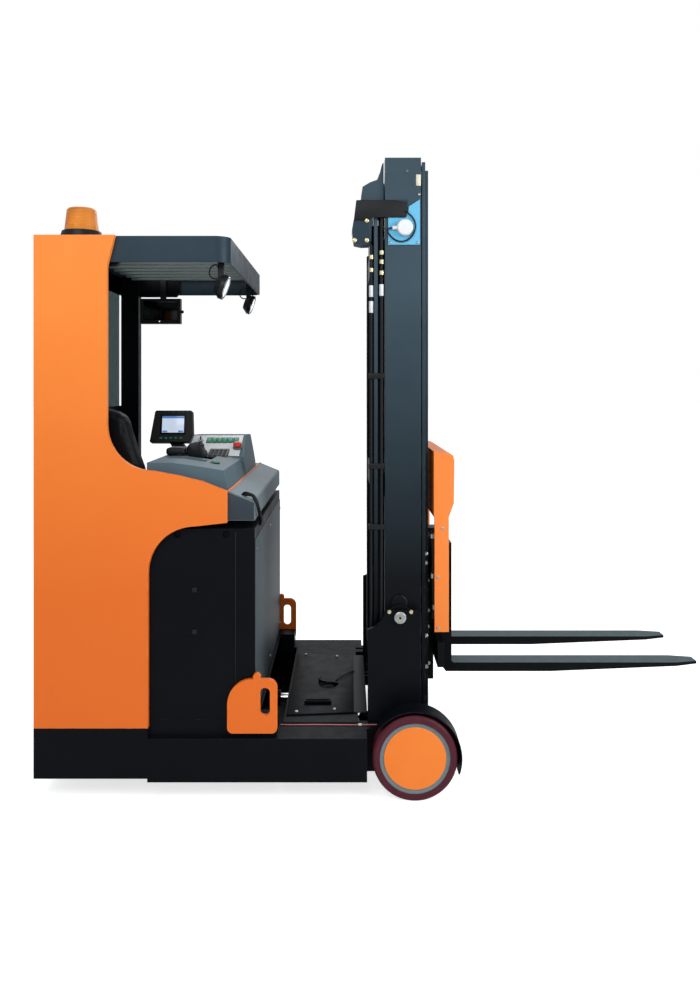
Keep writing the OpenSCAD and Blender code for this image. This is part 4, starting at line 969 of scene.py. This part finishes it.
# %% [markdown]
# Studio
#
# The truck stands on a pale floor before a white background, as in a catalogue picture. A large soft
# light above and in front shows the panels at their painted colour, a second one on the right lights
# the faces towards the mast, and a weak one behind keeps the far side readable. The floor adds a little
# white of its own for the camera only, so it meets the background without an edge and still holds the
# truck's shadow.

# %% Floor, world and lights
FLOOR_GLOW = 0.72


def finish_of_floor():
    """A pale matt floor that looks white to the camera where nothing shades it."""
    material, tree, output = new_material("studio_floor")
    rays = node(tree, "LightPath")
    matt = node(tree, "BsdfPrincipled", {"Base Color": srgb("E6E6E6"), "Roughness": 0.8,
                                         "Specular IOR Level": 0.1})
    glow_level = node(tree, "Math", {0: rays.outputs["Is Camera Ray"], 1: FLOOR_GLOW},
                      operation="MULTIPLY")
    glow = node(tree, "Emission", {"Color": srgb("FFFFFF"), "Strength": glow_level.outputs["Value"]})
    both = node(tree, "AddShader", {0: matt.outputs["BSDF"], 1: glow.outputs["Emission"]})
    tree.links.new(both.outputs["Shader"], output.inputs["Surface"])
    return material


floor_mesh = bpy.data.meshes.new("studio_floor")
FLOOR_HALF = 60
corners = [(-FLOOR_HALF, -FLOOR_HALF, 0), (FLOOR_HALF, -FLOOR_HALF, 0),
           (FLOOR_HALF, FLOOR_HALF, 0), (-FLOOR_HALF, FLOOR_HALF, 0)]
floor_mesh.from_pydata(corners, [], [(0, 1, 2, 3)])
floor_mesh.materials.append(finish_of_floor())
floor = bpy.data.objects.new("studio_floor", floor_mesh)
bpy.context.collection.objects.link(floor)

world = bpy.data.worlds.new("studio")
world.use_nodes = True
world_tree = world.node_tree
world_tree.nodes.clear()
rays = node(world_tree, "LightPath")
ambient = node(world_tree, "Background", {"Color": srgb("F4F8FF"), "Strength": 0.5})
seen = node(world_tree, "Background", {"Color": srgb("FFFFFF"), "Strength": 1.0})
either = node(world_tree, "Math", {0: rays.outputs["Is Camera Ray"],
                                   1: rays.outputs["Is Transmission Ray"]}, operation="MAXIMUM")
mix = node(world_tree, "MixShader", {0: either.outputs["Value"], 1: ambient.outputs["Background"],
                                     2: seen.outputs["Background"]})
node(world_tree, "OutputWorld", {"Surface": mix.outputs["Shader"]})
bpy.context.scene.world = world

LIGHTS = [
    # name, place, aim, size, watts
    ("key", (-1.6, -4.6, 4.4), (-0.4, 0.0, 1.2), 3.0, 115),
    ("side", (3.6, -2.2, 2.8), (-0.4, 0.0, 1.1), 2.5, 138),
    ("back", (-0.5, 3.6, 4.2), (-0.4, 0.0, 1.4), 3.0, 60),
]
for name, place, aim, size, watts in LIGHTS:
    data = bpy.data.lights.new(name, "AREA")
    data.size = size
    data.energy = watts
    light = bpy.data.objects.new(name, data)
    light.location = place
    light.rotation_euler = (Vector(aim) - Vector(place)).to_track_quat("-Z", "Y").to_euler()
    bpy.context.collection.objects.link(light)

bpy.context.scene.view_settings.view_transform = "Standard"
print(len(LIGHTS), "lights over a pale floor")
